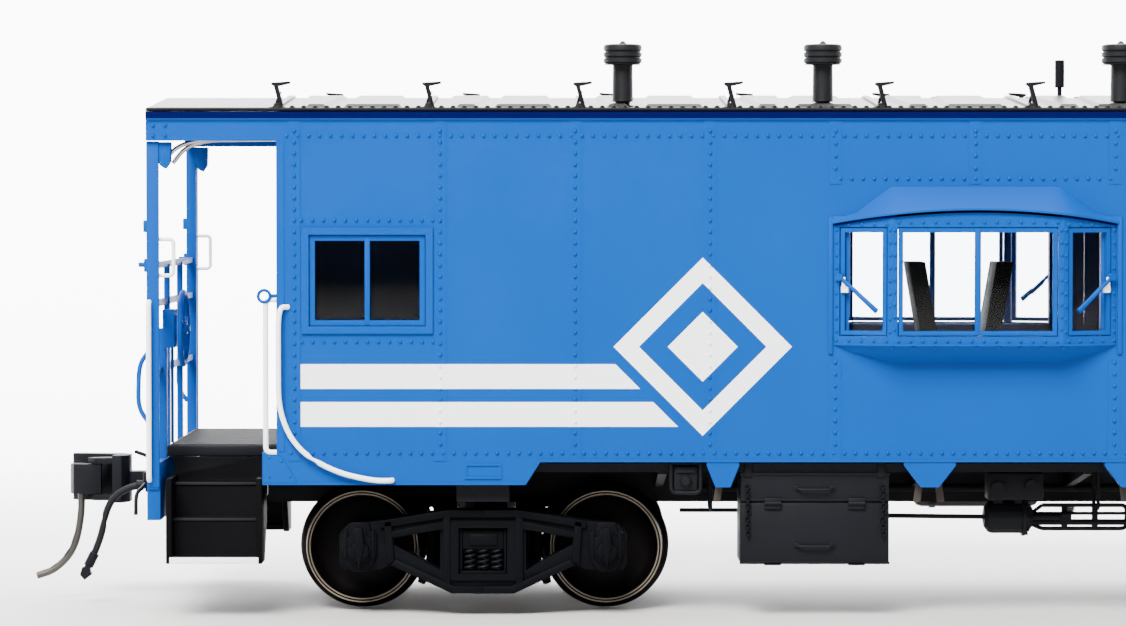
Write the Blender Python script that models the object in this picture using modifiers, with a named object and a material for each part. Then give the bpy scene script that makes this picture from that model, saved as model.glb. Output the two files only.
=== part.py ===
"""A 1:87 scale model of a bay-window caboose, on two four-wheel trucks.

X runs along the car, Y across it, and Z up from the surface that the wheels stand on. The
origin is midway between the trucks. Both halves of the car are alike: what is modelled for
the near side (-Y) and the A end (-X) is made again for the other half, turned half round.
"""

import math

import bmesh
import bpy
from mathutils import Matrix, Vector

MM = 0.001

# Clearances and drawing settings
FIT = 0.05 * MM  # between pieces that rest on or in one another
RUNNING = 0.1 * MM  # between a pin and the hole that turns on it
OVERLAP = 0.2 * MM  # how far joined shapes reach into one another
MERGE = 0.0001 * MM
ROUND_SIDES = 16
WHEEL_SIDES = 24
SMALL_SIDES = 12
SPOKE_SIDES = 6
RIM_SIDES = 6
SMOOTH_ANGLE = math.radians(40)
BEND_STEPS = 4
WIRE_SIDES_LEVEL = 2

# House: the body between the two platforms
HOUSE_LENGTH = 116.0 * MM
HOUSE_WIDTH = 33.0 * MM
SIDE_BOTTOM = 13.1 * MM
EAVE_HEIGHT = 42.2 * MM
WALL = 1.0 * MM
OVERHANG = 10.8 * MM  # roof and fascia past each end wall
FASCIA_DEPTH = 2.4 * MM
ARCH_SIDE = 2.6 * MM
ARCH_RISE = 1.2 * MM
SKIRT_BOTTOM = 11.2 * MM
SKIRT_PAST_END = 1.2 * MM
SKIRT_LENGTH = 21.9 * MM
SKIRT_SLANT = 1.2 * MM
SKIRT_TOP = 13.9 * MM
END_WALL_BOTTOM = 13.6 * MM
# Each gusset's centre, width at the sill and width at its foot
GUSSETS = (
    (-20.9 * MM, 2.7 * MM, 1.25 * MM),
    (-3.7 * MM, 4.3 * MM, 1.5 * MM),
    (13.0 * MM, 4.3 * MM, 1.5 * MM),
)
GUSSET_STRAIGHT = 0.3 * MM
GUSSET_DEPTH = 2.1 * MM

# Side window, at the left of each side
WINDOW_INSET = 2.7 * MM
WINDOW_WIDTH = 9.7 * MM
WINDOW_SILL = 24.4 * MM
WINDOW_HEIGHT = 7.6 * MM
GLASS_THICK = 0.5 * MM
GLASS_LAP = 0.8 * MM

# Roof
ROOF_RISE = 1.35 * MM
ROOF_EDGE = 0.2 * MM
ROOF_DRIP = 0.1 * MM
ROOF_THICK = 0.75 * MM
SEAM_FIRST = 0.1 * MM  # from the A end wall to the first seam
SEAM_PITCH = 12.53 * MM
SEAM_WIDTH = 0.5 * MM
SEAM_HEIGHT = 0.22 * MM

# Bay window
BAY_BASE = 23.6 * MM
BAY_FRONT = 14.1 * MM
BAY_DEPTH = 2.2 * MM
BAY_SHEET = 0.6 * MM
BAY_BOTTOM = 22.9 * MM
BAY_CORNER_TOP = 33.1 * MM
BAY_CENTRE_TOP = 34.1 * MM
BAY_ROOF_TOP = 36.0 * MM
BAY_ROOF_HALF = 7.0 * MM
BAY_ROOF_SHOULDER = 10.3 * MM
BAY_APRON_BOTTOM = 21.8 * MM
BAY_GLAZING_BOTTOM = 24.1 * MM
BAY_GLAZING_TOP = 32.0 * MM
BAY_FRONT_FRAME = 0.9 * MM
BAY_SIDE_FRAME = 0.75 * MM

# Roof fittings
STACK_INSET = 3.2 * MM
STACK_Y = STACK_INSET - HOUSE_WIDTH / 2
STACK_PLACES = ((-29.2 * MM, STACK_Y), (-12.45 * MM, STACK_Y), (12.5 * MM, STACK_Y))
STACK_RADIUS = 0.85 * MM
STACK_SPIGOT = 0.6 * MM
STACK_TOP = 48.2 * MM
STACK_CAP_RADIUS = 1.6 * MM
STACK_CAP_HEIGHT = 2.0 * MM
STACK_RINGS = 3
STACK_GROOVE = 0.25 * MM
STACK_CROWN_RADIUS = 0.81 * MM
SPIGOT_DEPTH = 0.5 * MM
ANTENNA_X = 9.2 * MM
ANTENNA_RADIUS = 0.42 * MM
ANTENNA_STALK = 0.2 * MM
ANTENNA_TOP = 47.1 * MM
ANTENNA_LENGTH = 2.4 * MM

# Underframe, weight and floor
DECK_BOTTOM = 12.2 * MM
DECK_THICK = 0.7 * MM
SILL_BOTTOM = 8.7 * MM
SILL_WIDTH = 6.0 * MM
SILL_PAST_END = 1.8 * MM
BODY_BOLSTER_WIDTH = 4.4 * MM
BODY_BOLSTER_BOTTOM = 9.7 * MM
CENTRE_PLATE_RADIUS = 2.6 * MM
BEARER_PLACES = (-25.9 * MM, -3.7 * MM, 9.6 * MM, 25.9 * MM)
BEARER_THICK = 0.7 * MM
BEARER_BOTTOM = 9.9 * MM
WEIGHT_LENGTH = 96.0 * MM
WEIGHT_CLEARANCE = 1.5 * MM
WEIGHT_WIDTH = HOUSE_WIDTH - 2 * (WALL + WEIGHT_CLEARANCE)
WEIGHT_THICK = 1.5 * MM
FLOOR_THICK = 0.6 * MM
PARTITION_PLACES = (-30.0 * MM, 30.0 * MM)
PARTITION_THICK = 0.8 * MM
PARTITION_TOP = 41.0 * MM
DOORWAY_HALF = 3.2 * MM
DOORWAY_TOP = 36.0 * MM
SEAT_CENTRES = (-2.15 * MM, 1.55 * MM)
SEAT_HEIGHT = 22.6 * MM
SEAT_THICK = 1.2 * MM
SEAT_LENGTH = 3.0 * MM
SEAT_WIDTH = 5.6 * MM
SEAT_Y = -6.0 * MM
SEAT_BACK_TOP = 29.6 * MM
SEAT_BACK_THICK = 1.4 * MM
SEAT_BACK_LEAN = 1.3 * MM
PEDESTAL_RADIUS = 0.9 * MM

# End platform and steps
PLATFORM_TOP = 14.1 * MM
PLATFORM_THICK = 0.9 * MM
PLATFORM_PAST_STEPS = 0.45 * MM
STEP_WELL = 5.4 * MM  # across the car
STEP_INSET = 0.1 * MM
STEP_NEAR_END = 1.25 * MM  # from the end wall to the stringer
STEP_LENGTH = 8.0 * MM
STEP_LEVELS = (11.2 * MM, 8.3 * MM, 5.2 * MM)
STEP_TREAD = 0.5 * MM
STEP_TREAD_DEPTH = 2.6 * MM
STRINGER_THICK = 0.5 * MM

# End frame: end sill, corner posts and railing
END_SILL_THICK = 1.1 * MM
END_SILL_BOTTOM = 8.2 * MM
END_SILL_TOP = 13.0 * MM
END_SILL_NOTCH = 3.4 * MM
END_SILL_NOTCH_TOP = 12.5 * MM
POST_SIZE = 0.9 * MM
POST_INSET = 0.4 * MM
POST_FOOT = 10.8 * MM
RAIL_LEVELS = (20.5 * MM, 26.2 * MM, 29.4 * MM)
RAIL_SIZE = 0.5 * MM
GATE_POST = 5.2 * MM
BRAKE_Y = -9.5 * MM
BRAKE_Z = 24.0 * MM
BRAKE_HOUSING = 3.2 * MM
BRAKE_HOUSING_THICK = 1.0 * MM
BRAKE_STAND = 1.0 * MM
BRAKE_STAND_DEPTH = 0.7 * MM
BRAKE_PIN_RADIUS = 0.25 * MM
BRAKE_WHEEL_RADIUS = 3.3 * MM
BRAKE_RIM_RADIUS = 0.25 * MM
BRAKE_HUB_RADIUS = 0.7 * MM
BRAKE_HUB_LENGTH = 0.7 * MM
BRAKE_SPOKES = 5
BRAKE_SPOKE_RADIUS = 0.18 * MM

# Handrails, hoses and brake gear
RAIL_WIRE = 0.21 * MM
RAIL_STAND_OFF = 0.55 * MM
RAIL_BEND = 1.2 * MM
RAIL_TOP_FOOT = (1.0 * MM, 26.0 * MM)  # inward from the end wall and up, as are the next two
RAIL_SWEEP = (
    (0.2 * MM, 26.0 * MM),
    (0.2 * MM, 17.4 * MM),
    (1.6 * MM, 14.3 * MM),
    (4.6 * MM, 12.4 * MM),
    (7.9 * MM, 11.6 * MM),
    (9.6 * MM, 11.6 * MM),
)
RAIL_LOW_FOOT = (9.6 * MM, 11.6 * MM)
HOSE_RADIUS = 0.3 * MM
HOSE_Y = -5.0 * MM
HOSE_BEND = 1.6 * MM
HOSE_ROUTE = (  # outward from the end sill, and up
    (0.0, 10.2 * MM),
    (2.6 * MM, 10.3 * MM),
    (4.6 * MM, 8.9 * MM),
    (5.2 * MM, 5.6 * MM),
    (6.6 * MM, 2.7 * MM),
)
BOX_LEFT = -19.4 * MM
BOX_LENGTH = 12.4 * MM
BOX_BOTTOM = 4.5 * MM
BOX_DEPTH = 6.0 * MM
BOX_INSET = 1.0 * MM
BOX_LID_LEVEL = 9.6 * MM
BOX_GROOVE = 0.15 * MM
CYLINDER_X = 3.7 * MM
CYLINDER_Y = -9.0 * MM
CYLINDER_Z = 7.9 * MM
CYLINDER_RADIUS = 1.4 * MM
CYLINDER_LENGTH = 4.4 * MM
CYLINDER_HANGER = 0.9 * MM  # from the middle, as is the reservoir's
RESERVOIR_Y = 8.5 * MM
RESERVOIR_Z = 9.2 * MM
RESERVOIR_RADIUS = 1.9 * MM
RESERVOIR_HANGER = 4.0 * MM
RESERVOIR_GAP = 0.3 * MM  # from each end to the cross bearer beside it
HANGER_THICK = 0.8 * MM
TANK_END = ((0.0, 0.0), (0.6, 0.1), (0.93, 0.35), (1.0, 0.6))  # (out, in), as shares of its radius

# Trucks and wheels
TRUCK_INSET = 17.1 * MM  # from the end wall to the kingpin
WHEELBASE = 20.7 * MM
FLANGE_RADIUS = 5.45 * MM
TREAD_RADIUS = 4.815 * MM
TREAD_TAPER = 0.08 * MM
WHEEL_WIDTH = 2.8 * MM
FLANGE_WIDTH = 0.8 * MM
RIM_WIDTH = 0.75 * MM
PLATE_DIP = 0.6 * MM
HUB_RADIUS = 1.5 * MM
BACK_TO_BACK = 14.4 * MM
AXLE_RADIUS = 0.8 * MM
AXLE_LENGTH = 25.4 * MM
AXLE_POINT = 1.5 * MM
AXLE_TIP_RADIUS = 0.15 * MM
FRAME_INNER = 11.7 * MM
FRAME_THICK = 2.3 * MM
CHORD_TOP = 8.9 * MM
CHORD_TOP_HALF = 3.0 * MM
CHORD_BOTTOM = 1.9 * MM
CHORD_BOTTOM_HALF = 2.6 * MM
PEDESTAL_HALF = 1.7 * MM
PEDESTAL_TOP = 7.7 * MM
PEDESTAL_BOTTOM = 3.9 * MM
PEDESTAL_TOE = (0.3 * MM, 0.5 * MM)  # across and up, as are the next three
PEDESTAL_SHOULDER = (0.7 * MM, 0.8 * MM)
PEDESTAL_HEEL = (0.9 * MM, 0.4 * MM)
PEDESTAL_CROWN = 0.3 * MM
FRAME_WINDOW_HALF = 2.0 * MM
FRAME_WINDOW_BOTTOM = 3.4 * MM
FRAME_WINDOW_TOP = 7.4 * MM
FRAME_OPENING_NEAR = 3.6 * MM
FRAME_OPENING_FAR = 7.5 * MM
FRAME_OPENING_TOP = 7.3 * MM
FRAME_OPENING_BOTTOM = 4.2 * MM
FRAME_OPENING_POINT = 6.0 * MM
FRAME_OPENING_END = 0.5 * MM
FRAME_OPENING_DROP = 0.4 * MM
BOLSTER_WIDTH = 4.4 * MM
BOLSTER_BOTTOM = 4.6 * MM
BOLSTER_TOP = 7.2 * MM
BOLSTER_PLATE_TOP = 7.9 * MM
BOLSTER_TONGUE = 1.2 * MM
KINGPIN_RADIUS = 0.9 * MM
KINGPIN_HEAD_RADIUS = 1.7 * MM
KINGPIN_HEAD = 0.8 * MM
KINGPIN_DEPTH = 2.5 * MM

# Couplers
DRAFT_BOX_WIDTH = 5.2 * MM
DRAFT_BOX_BOTTOM = 8.9 * MM
DRAFT_BOX_TOP = 12.2 * MM
DRAFT_BOX_SHEET = 0.6 * MM
DRAFT_BOX_NEAR = 2.2 * MM  # from the end wall
DRAFT_BOX_LENGTH = 10.2 * MM
SWING_FROM_FACE = 4.0 * MM  # from the mouth of the box to the pivot
SWING_POST_RADIUS = 0.8 * MM
SHANK_THICK = 1.2 * MM
SHANK_WIDTH = 1.6 * MM
SHANK_EYE_RADIUS = 1.6 * MM
COUPLER_HEIGHT = 10.55 * MM
HEAD_HEIGHT = 4.1 * MM
HEAD_NEAR = 5.7 * MM  # from the pivot
KNUCKLE_HEIGHT = 2.6 * MM
KNUCKLE_PIVOT = (8.6 * MM, -1.2 * MM)  # from the swing pivot, outward and across
KNUCKLE_PIN_RADIUS = 0.35 * MM
TRIP_PIN_RADIUS = 0.3 * MM
TRIP_PIN_BEND = 1.6 * MM
TRIP_PIN_PLACE = (-1.3 * MM, 0.2 * MM)
TRIP_PIN_ROUTE = (  # outward and up, from the knuckle's pivot
    (-1.3 * MM, -3.2 * MM),
    (-1.9 * MM, -6.2 * MM),
    (-3.6 * MM, -8.0 * MM),
    (-5.2 * MM, -8.5 * MM),
)
HEAD_OUTLINE = (  # from the swing pivot, as is the lug's
    (-5.7 * MM, -1.0 * MM),
    (-5.7 * MM, 1.0 * MM),
    (-6.9 * MM, 2.0 * MM),
    (-10.4 * MM, 2.3 * MM),
    (-11.0 * MM, 1.8 * MM),
    (-10.0 * MM, 1.1 * MM),
    (-8.4 * MM, 0.7 * MM),
    (-7.1 * MM, 0.2 * MM),
    (-7.1 * MM, -1.9 * MM),
    (-6.3 * MM, -1.9 * MM),
)
LUG_ROOT = ((-6.7 * MM, 0.6 * MM), (-6.7 * MM, -1.7 * MM))
LUG_REACH = 0.7 * MM
HOOK_OUTLINE = (  # from the knuckle's pivot
    (0.5 * MM, -0.55 * MM),
    (0.5 * MM, 0.3 * MM),
    (0.0, 0.65 * MM),
    (-0.9 * MM, 0.75 * MM),
    (-1.1 * MM, 1.2 * MM),
    (-1.4 * MM, 1.5 * MM),
    (-2.1 * MM, 1.4 * MM),
    (-2.3 * MM, 0.6 * MM),
    (-1.9 * MM, -0.3 * MM),
    (-1.0 * MM, -0.7 * MM),
)

HALF_LENGTH = HOUSE_LENGTH / 2
HALF_WIDTH = HOUSE_WIDTH / 2
ROOF_HALF_LENGTH = HALF_LENGTH + OVERHANG
ROOF_BOTTOM = EAVE_HEIGHT + FIT
ROOF_HALF_WIDTH = HALF_WIDTH + ROOF_DRIP
DECK_TOP = DECK_BOTTOM + DECK_THICK
WEIGHT_TOP = DECK_TOP + FIT + WEIGHT_THICK
FLOOR_TOP = WEIGHT_TOP + FIT + FLOOR_THICK
TRUCK_X = HALF_LENGTH - TRUCK_INSET
STEP_FAR = HALF_LENGTH + STEP_NEAR_END + STEP_LENGTH
PLATFORM_END = STEP_FAR + PLATFORM_PAST_STEPS
END_SILL_X = PLATFORM_END + FIT
SWING_X = HALF_LENGTH + DRAFT_BOX_NEAR + DRAFT_BOX_LENGTH - SWING_FROM_FACE
BOX_Y = -HALF_WIDTH + BOX_INSET

HALVES = {"a": 0.0, "b": math.pi}
SIDE_NAMES = {"a": "near", "b": "far"}

COLOURS = {
    "blue_plastic": ((0.023, 0.326, 1.0, 1.0), 0.42, 0.0),
    "black_plastic": ((0.012, 0.014, 0.017, 1.0), 0.55, 0.0),
    "roof_black": ((0.02, 0.02, 0.022, 1.0), 0.38, 0.0),
    "white_wire": ((0.85, 0.86, 0.88, 1.0), 0.4, 0.0),
    "clear_plastic": ((0.75, 0.8, 0.83, 1.0), 0.08, 0.0),
    "wheel_metal": ((0.16, 0.14, 0.12, 1.0), 0.35, 1.0),
    "steel": ((0.42, 0.41, 0.4, 1.0), 0.4, 1.0),
    "hose_rubber": ((0.035, 0.035, 0.037, 1.0), 0.7, 0.0),
    "interior_plastic": ((0.05, 0.055, 0.06, 1.0), 0.6, 0.0),
}


def clear_scene():
    """Empties the scene, and makes the collections for the parts and the cutters."""
    for obj in list(bpy.data.objects):
        bpy.data.objects.remove(obj, do_unlink=True)
    made = []
    for name in ("model_caboose", "cutters"):
        collection = bpy.data.collections.new(name)
        bpy.context.scene.collection.children.link(collection)
        made.append(collection)
    return made


PARTS, CUTTERS = clear_scene()


# Shapes -------------------------------------------------------------------------------


def add_object(name, data):
    """A new object among the cutters; finish() moves what is a part to the parts."""
    obj = bpy.data.objects.new(name, data)
    CUTTERS.objects.link(obj)
    obj.hide_render = True
    obj.display_type = "WIRE"
    return obj


def mesh_object(name, shape):
    """An object from a bmesh, which is then freed."""
    mesh = bpy.data.meshes.new(name)
    shape.to_mesh(mesh)
    shape.free()
    return add_object(name, mesh)


def block(name, low, high):
    """A box between its lowest and highest corners."""
    low, high = Vector(low), Vector(high)
    shape = bmesh.new()
    bmesh.ops.create_cube(shape, size=1.0)
    bmesh.ops.scale(shape, vec=high - low, verts=shape.verts)
    bmesh.ops.translate(shape, vec=(low + high) / 2, verts=shape.verts)
    return mesh_object(name, shape)


def rod(name, start, end, radius, end_radius=None, sides=ROUND_SIDES):
    """A round bar or cone between two points."""
    start, end = Vector(start), Vector(end)
    turn = (end - start).to_track_quat("Z", "Y").to_matrix().to_4x4()
    shape = bmesh.new()
    bmesh.ops.create_cone(
        shape,
        cap_ends=True,
        segments=sides,
        radius1=radius,
        radius2=radius if end_radius is None else end_radius,
        depth=(end - start).length,
        matrix=Matrix.Translation((start + end) / 2) @ turn,
    )
    return mesh_object(name, shape)


def hull(name, points):
    """The convex solid around some points."""
    shape = bmesh.new()
    for point in points:
        shape.verts.new(point)
    bmesh.ops.convex_hull(shape, input=shape.verts)
    bmesh.ops.recalc_face_normals(shape, faces=shape.faces)
    return mesh_object(name, shape)


def as_mesh(obj):
    """Replaces a curve object by a mesh object with welded caps."""
    graph = bpy.context.evaluated_depsgraph_get()
    mesh = bpy.data.meshes.new_from_object(obj.evaluated_get(graph))
    shape = bmesh.new()
    shape.from_mesh(mesh)
    bmesh.ops.remove_doubles(shape, verts=shape.verts, dist=MERGE)
    shape.to_mesh(mesh)
    shape.free()
    solid = add_object(obj.name, mesh)
    solid.matrix_world = obj.matrix_world
    name = obj.name
    bpy.data.objects.remove(obj, do_unlink=True)
    solid.name = name
    return solid


def plate(name, outline, low, high, axis="Z", holes=()):
    """A flat outline extruded from low to high along an axis, with any holes cut through it.

    The outline holds (x, y) points for Z, (x, z) points for Y and (y, z) points for X.
    """
    turns = {
        "X": Matrix(((0, 0, 1), (1, 0, 0), (0, 1, 0))).to_4x4(),
        "Y": Matrix(((1, 0, 0), (0, 0, -1), (0, 1, 0))).to_4x4(),
        "Z": Matrix.Identity(4),
    }
    base = -high if axis == "Y" else low
    shape = bmesh.new()
    corners = [shape.verts.new((across, along, base)) for across, along in outline]
    face = shape.faces.new(corners)
    grown = bmesh.ops.extrude_face_region(shape, geom=[face])
    moved = [item for item in grown["geom"] if isinstance(item, bmesh.types.BMVert)]
    bmesh.ops.translate(shape, vec=(0.0, 0.0, high - low), verts=moved)
    bmesh.ops.transform(shape, matrix=turns[axis], verts=shape.verts)
    bmesh.ops.recalc_face_normals(shape, faces=shape.faces)
    solid = mesh_object(name, shape)
    margin = high - low
    cutters = [plate("hole", hole, low - margin, high + margin, axis) for hole in holes]
    return cut(solid, *cutters)


def turned(name, profile, sides=ROUND_SIDES, ring=False):
    """A profile of (radius, height) points, top to bottom down its outer side, turned about Z."""
    edges = [(index, index + 1) for index in range(len(profile) - 1)]
    if ring:
        edges.append((len(profile) - 1, 0))
    mesh = bpy.data.meshes.new(name)
    mesh.from_pydata([(radius, 0.0, height) for radius, height in profile], edges, [])
    obj = add_object(name, mesh)
    screw = obj.modifiers.new("turn", "SCREW")
    screw.axis = "Z"
    screw.steps = sides
    screw.render_steps = sides
    screw.use_merge_vertices = True
    screw.merge_threshold = MERGE
    return obj


def rounded(points, radius):
    """The points of a path whose corners are rounded, each with a few steps."""
    points = [Vector(point) for point in points]
    path = [points[0]]
    for before, corner, after in zip(points, points[1:], points[2:]):
        start = corner + (before - corner).normalized() * min(radius, (before - corner).length / 2)
        end = corner + (after - corner).normalized() * min(radius, (after - corner).length / 2)
        for step in range(BEND_STEPS + 1):
            share = step / BEND_STEPS
            path.append(start.lerp(corner, share).lerp(corner.lerp(end, share), share))
    path.append(points[-1])
    return path


def wire(name, path, radius):
    """A round wire along a path of points."""
    curve = bpy.data.curves.new(name, "CURVE")
    curve.dimensions = "3D"
    curve.bevel_depth = radius
    curve.bevel_resolution = WIRE_SIDES_LEVEL
    curve.use_fill_caps = True
    spline = curve.splines.new("POLY")
    spline.points.add(len(path) - 1)
    for point, place in zip(spline.points, path):
        point.co = (*place, 1.0)
    return add_object(name, curve)


# Assembly -----------------------------------------------------------------------------


def combine(obj, others, operation):
    """Adds a Boolean for each of the other objects, which stay among the cutters."""
    for other in others:
        modifier = obj.modifiers.new(other.name, "BOOLEAN")
        modifier.operation = operation
        modifier.object = other
    return obj


def join(obj, *others):
    """Unites other solids with this one."""
    return combine(obj, others, "UNION")


def cut(obj, *others):
    """Takes other solids away from this one."""
    return combine(obj, others, "DIFFERENCE")


def bake(obj):
    """Applies the modifiers, so that copies can share the mesh, and drops the cutters."""
    graph = bpy.context.evaluated_depsgraph_get()
    mesh = bpy.data.meshes.new_from_object(obj.evaluated_get(graph))
    helpers = [modifier.object for modifier in obj.modifiers if modifier.type == "BOOLEAN"]
    obj.modifiers.clear()
    obj.data = mesh
    for helper in helpers:
        bpy.data.objects.remove(helper, do_unlink=True)
    return obj


def material(name):
    """The material of this name, made when it is first asked for."""
    found = bpy.data.materials.get(name)
    if found:
        return found
    colour, roughness, metallic = COLOURS[name]
    made = bpy.data.materials.new(name)
    made.use_nodes = True
    shader = made.node_tree.nodes["Principled BSDF"]
    shader.inputs["Base Color"].default_value = colour
    shader.inputs["Roughness"].default_value = roughness
    shader.inputs["Metallic"].default_value = metallic
    made.diffuse_color = colour
    return made


def finish(obj, material_name, parent=None, place=(0.0, 0.0, 0.0)):
    """Makes an object a part: its material, its parent and its place under that parent."""
    CUTTERS.objects.unlink(obj)
    PARTS.objects.link(obj)
    obj.hide_render = False
    obj.display_type = "TEXTURED"
    obj.parent = parent
    obj.location = place
    obj.data.materials.clear()
    obj.data.materials.append(material(material_name))
    return obj


def empty(name, place=(0.0, 0.0, 0.0), turn=0.0, parent=None):
    """A frame that parts are placed in."""
    obj = bpy.data.objects.new(name, None)
    PARTS.objects.link(obj)
    obj.parent = parent
    obj.location = place
    obj.rotation_euler = (0.0, 0.0, turn)
    return obj


def copy_of(obj, name, parent, place=(0.0, 0.0, 0.0), scale=(1.0, 1.0, 1.0)):
    """Another object that shares a finished part's mesh."""
    twin = bpy.data.objects.new(name, obj.data)
    PARTS.objects.link(twin)
    twin.parent = parent
    twin.location = place
    twin.scale = scale
    return twin


def mirrored_ring(points):
    """A closed outline from its right half: the points, then their mirror images."""
    return [*points, *((-across, along) for across, along in reversed(points))]


# House --------------------------------------------------------------------------------


def side_outline():
    """A side of the house, with its skirts, gussets and fascia, as (x, z) points."""
    skirt_end = HALF_LENGTH + SKIRT_PAST_END
    skirt_inner = skirt_end - SKIRT_LENGTH - SKIRT_SLANT
    bottom = [(-skirt_inner, SIDE_BOTTOM)]
    for centre, top, foot in GUSSETS:
        left = [
            (centre - top / 2, SIDE_BOTTOM),
            (centre - top / 2, SIDE_BOTTOM - GUSSET_STRAIGHT),
            (centre - foot / 2, SIDE_BOTTOM - GUSSET_DEPTH),
        ]
        bottom += left + [(2 * centre - x, z) for x, z in reversed(left)]
    right = [
        (skirt_inner, SIDE_BOTTOM),
        (skirt_inner + SKIRT_SLANT, SKIRT_BOTTOM),
        (skirt_end, SKIRT_BOTTOM),
        (skirt_end, SKIRT_TOP),
        (HALF_LENGTH, SKIRT_TOP),
        (HALF_LENGTH, EAVE_HEIGHT - FASCIA_DEPTH),
        (ROOF_HALF_LENGTH, EAVE_HEIGHT - FASCIA_DEPTH),
        (ROOF_HALF_LENGTH, EAVE_HEIGHT),
    ]
    left = [(-x, z) for x, z in reversed(right[1:])]
    return bottom + right + left


def end_outlines():
    """The end wall, and the arched fascia at the end of the roof, as (y, z) points."""
    reach = HALF_WIDTH - WALL + OVERLAP
    top = EAVE_HEIGHT - OVERLAP
    peak = ROOF_BOTTOM + ROOF_RISE + ROOF_EDGE - ROOF_THICK - FIT
    wall = [
        (reach, END_WALL_BOTTOM),
        (reach, top),
        (0.0, peak),
        (-reach, top),
        (-reach, END_WALL_BOTTOM),
    ]
    arch_low = EAVE_HEIGHT - FASCIA_DEPTH + OVERLAP
    arch_half = HALF_WIDTH - ARCH_SIDE
    right = [
        (arch_half - ARCH_SIDE, arch_low + ARCH_RISE),
        (arch_half, arch_low),
        (reach, arch_low),
        (reach, top),
    ]
    fascia = [*right, (0.0, peak), *((-y, z) for y, z in reversed(right))]
    return wall, fascia


def side_window(turn):
    """The cutter for a side window, at the left of the side that faces turn."""
    left = -HALF_LENGTH + WINDOW_INSET
    low = Vector((left, -HALF_WIDTH - WALL, WINDOW_SILL))
    high = Vector((left + WINDOW_WIDTH, -HALF_WIDTH + 2 * WALL, WINDOW_SILL + WINDOW_HEIGHT))
    opening = block("window_opening", low, high)
    opening.data.transform(Matrix.Rotation(turn, 4, "Z"))
    return opening


def bay_opening_half():
    """Half the width of the opening in the side behind a bay."""
    return BAY_BASE / 2 - BAY_SHEET - BAY_SIDE_FRAME


def body_shell():
    """Sides, end walls and fascias, open below and above, in one piece."""
    wall, fascia = end_outlines()
    sides = []
    for turn in HALVES.values():
        side = plate("side", side_outline(), -HALF_WIDTH, -HALF_WIDTH + WALL, "Y")
        side.data.transform(Matrix.Rotation(turn, 4, "Z"))
        sides.append(side)
    ends = []
    for sign in (-1, 1):
        for outline, outer in ((wall, HALF_LENGTH), (fascia, ROOF_HALF_LENGTH)):
            outer = outer - OVERLAP / 2
            low, high = sorted((sign * outer, sign * (outer - WALL)))
            ends.append(plate("end", outline, low, high, "X"))
    shell = join(sides[0], sides[1], *ends)
    openings = [side_window(turn) for turn in HALVES.values()]
    reach = HALF_WIDTH + WALL
    half = bay_opening_half()
    bay = block(
        "bay_opening",
        (-half, -reach, BAY_BOTTOM + BAY_SHEET),
        (half, reach, BAY_CORNER_TOP - BAY_SHEET),
    )
    cut(shell, *openings, bay)
    shell.name = "body_shell"
    return finish(shell, "blue_plastic")


def seam_places():
    """Places along the car of the roof's cross seams."""
    place = -HALF_LENGTH + SEAM_FIRST
    places = []
    while place < HALF_LENGTH:
        places.append(place)
        place += SEAM_PITCH
    return places


def roof_outline(bottom, top, half_width):
    """A shallow inverted V of even thickness at the ridge, as (y, z) points."""
    return [
        (half_width, bottom),
        (half_width, top),
        (0.0, top + ROOF_RISE),
        (-half_width, top),
        (-half_width, bottom),
        (0.0, bottom + ROOF_RISE),
    ]


def roof_top(y):
    """Height of the roof's upper face at a place across the car."""
    return ROOF_BOTTOM + ROOF_EDGE + ROOF_RISE * (1 - abs(y) / ROOF_HALF_WIDTH)


def roof():
    """Sheet roof with cross seams, and holes for the stacks and the antenna."""
    ridge = ROOF_BOTTOM + ROOF_EDGE + ROOF_RISE
    inner_half = HALF_WIDTH - WALL - FIT
    ring = [
        (ROOF_HALF_WIDTH, ROOF_BOTTOM),
        (ROOF_HALF_WIDTH, ROOF_BOTTOM + ROOF_EDGE),
        (0.0, ridge),
        (-ROOF_HALF_WIDTH, ROOF_BOTTOM + ROOF_EDGE),
        (-ROOF_HALF_WIDTH, ROOF_BOTTOM),
        (-inner_half, ROOF_BOTTOM),
        (0.0, ridge - ROOF_THICK),
        (inner_half, ROOF_BOTTOM),
    ]
    sheet = plate("roof", ring, -ROOF_HALF_LENGTH, ROOF_HALF_LENGTH, "X")
    base = ROOF_BOTTOM + ROOF_EDGE
    seam_ring = roof_outline(base - OVERLAP / 2, base + SEAM_HEIGHT, HALF_WIDTH)
    for place in seam_places():
        start = place - SEAM_WIDTH / 2
        join(sheet, plate("seam", seam_ring, start, start + SEAM_WIDTH, "X"))
    holes = [(x, y, STACK_SPIGOT) for x, y in STACK_PLACES] + [(ANTENNA_X, 0.0, ANTENNA_STALK)]
    for x, y, radius in holes:
        top = roof_top(y) + ROOF_RISE
        cut(sheet, rod("hole", (x, y, top - 2 * ROOF_RISE), (x, y, top), radius + FIT))
    return finish(sheet, "roof_black")


def bay_plan(inset, back):
    """The bay seen from above, drawn in by inset all round, as (x, y) points."""
    slope = math.atan2(BAY_DEPTH, (BAY_BASE - BAY_FRONT) / 2)
    front_half = BAY_FRONT / 2 - inset * math.tan(slope / 2)
    front_y = -HALF_WIDTH - BAY_DEPTH + inset
    back_half = front_half + (back - front_y) / math.tan(slope)
    return [(-back_half, back), (-front_half, front_y), (front_half, front_y), (back_half, back)]


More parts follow.
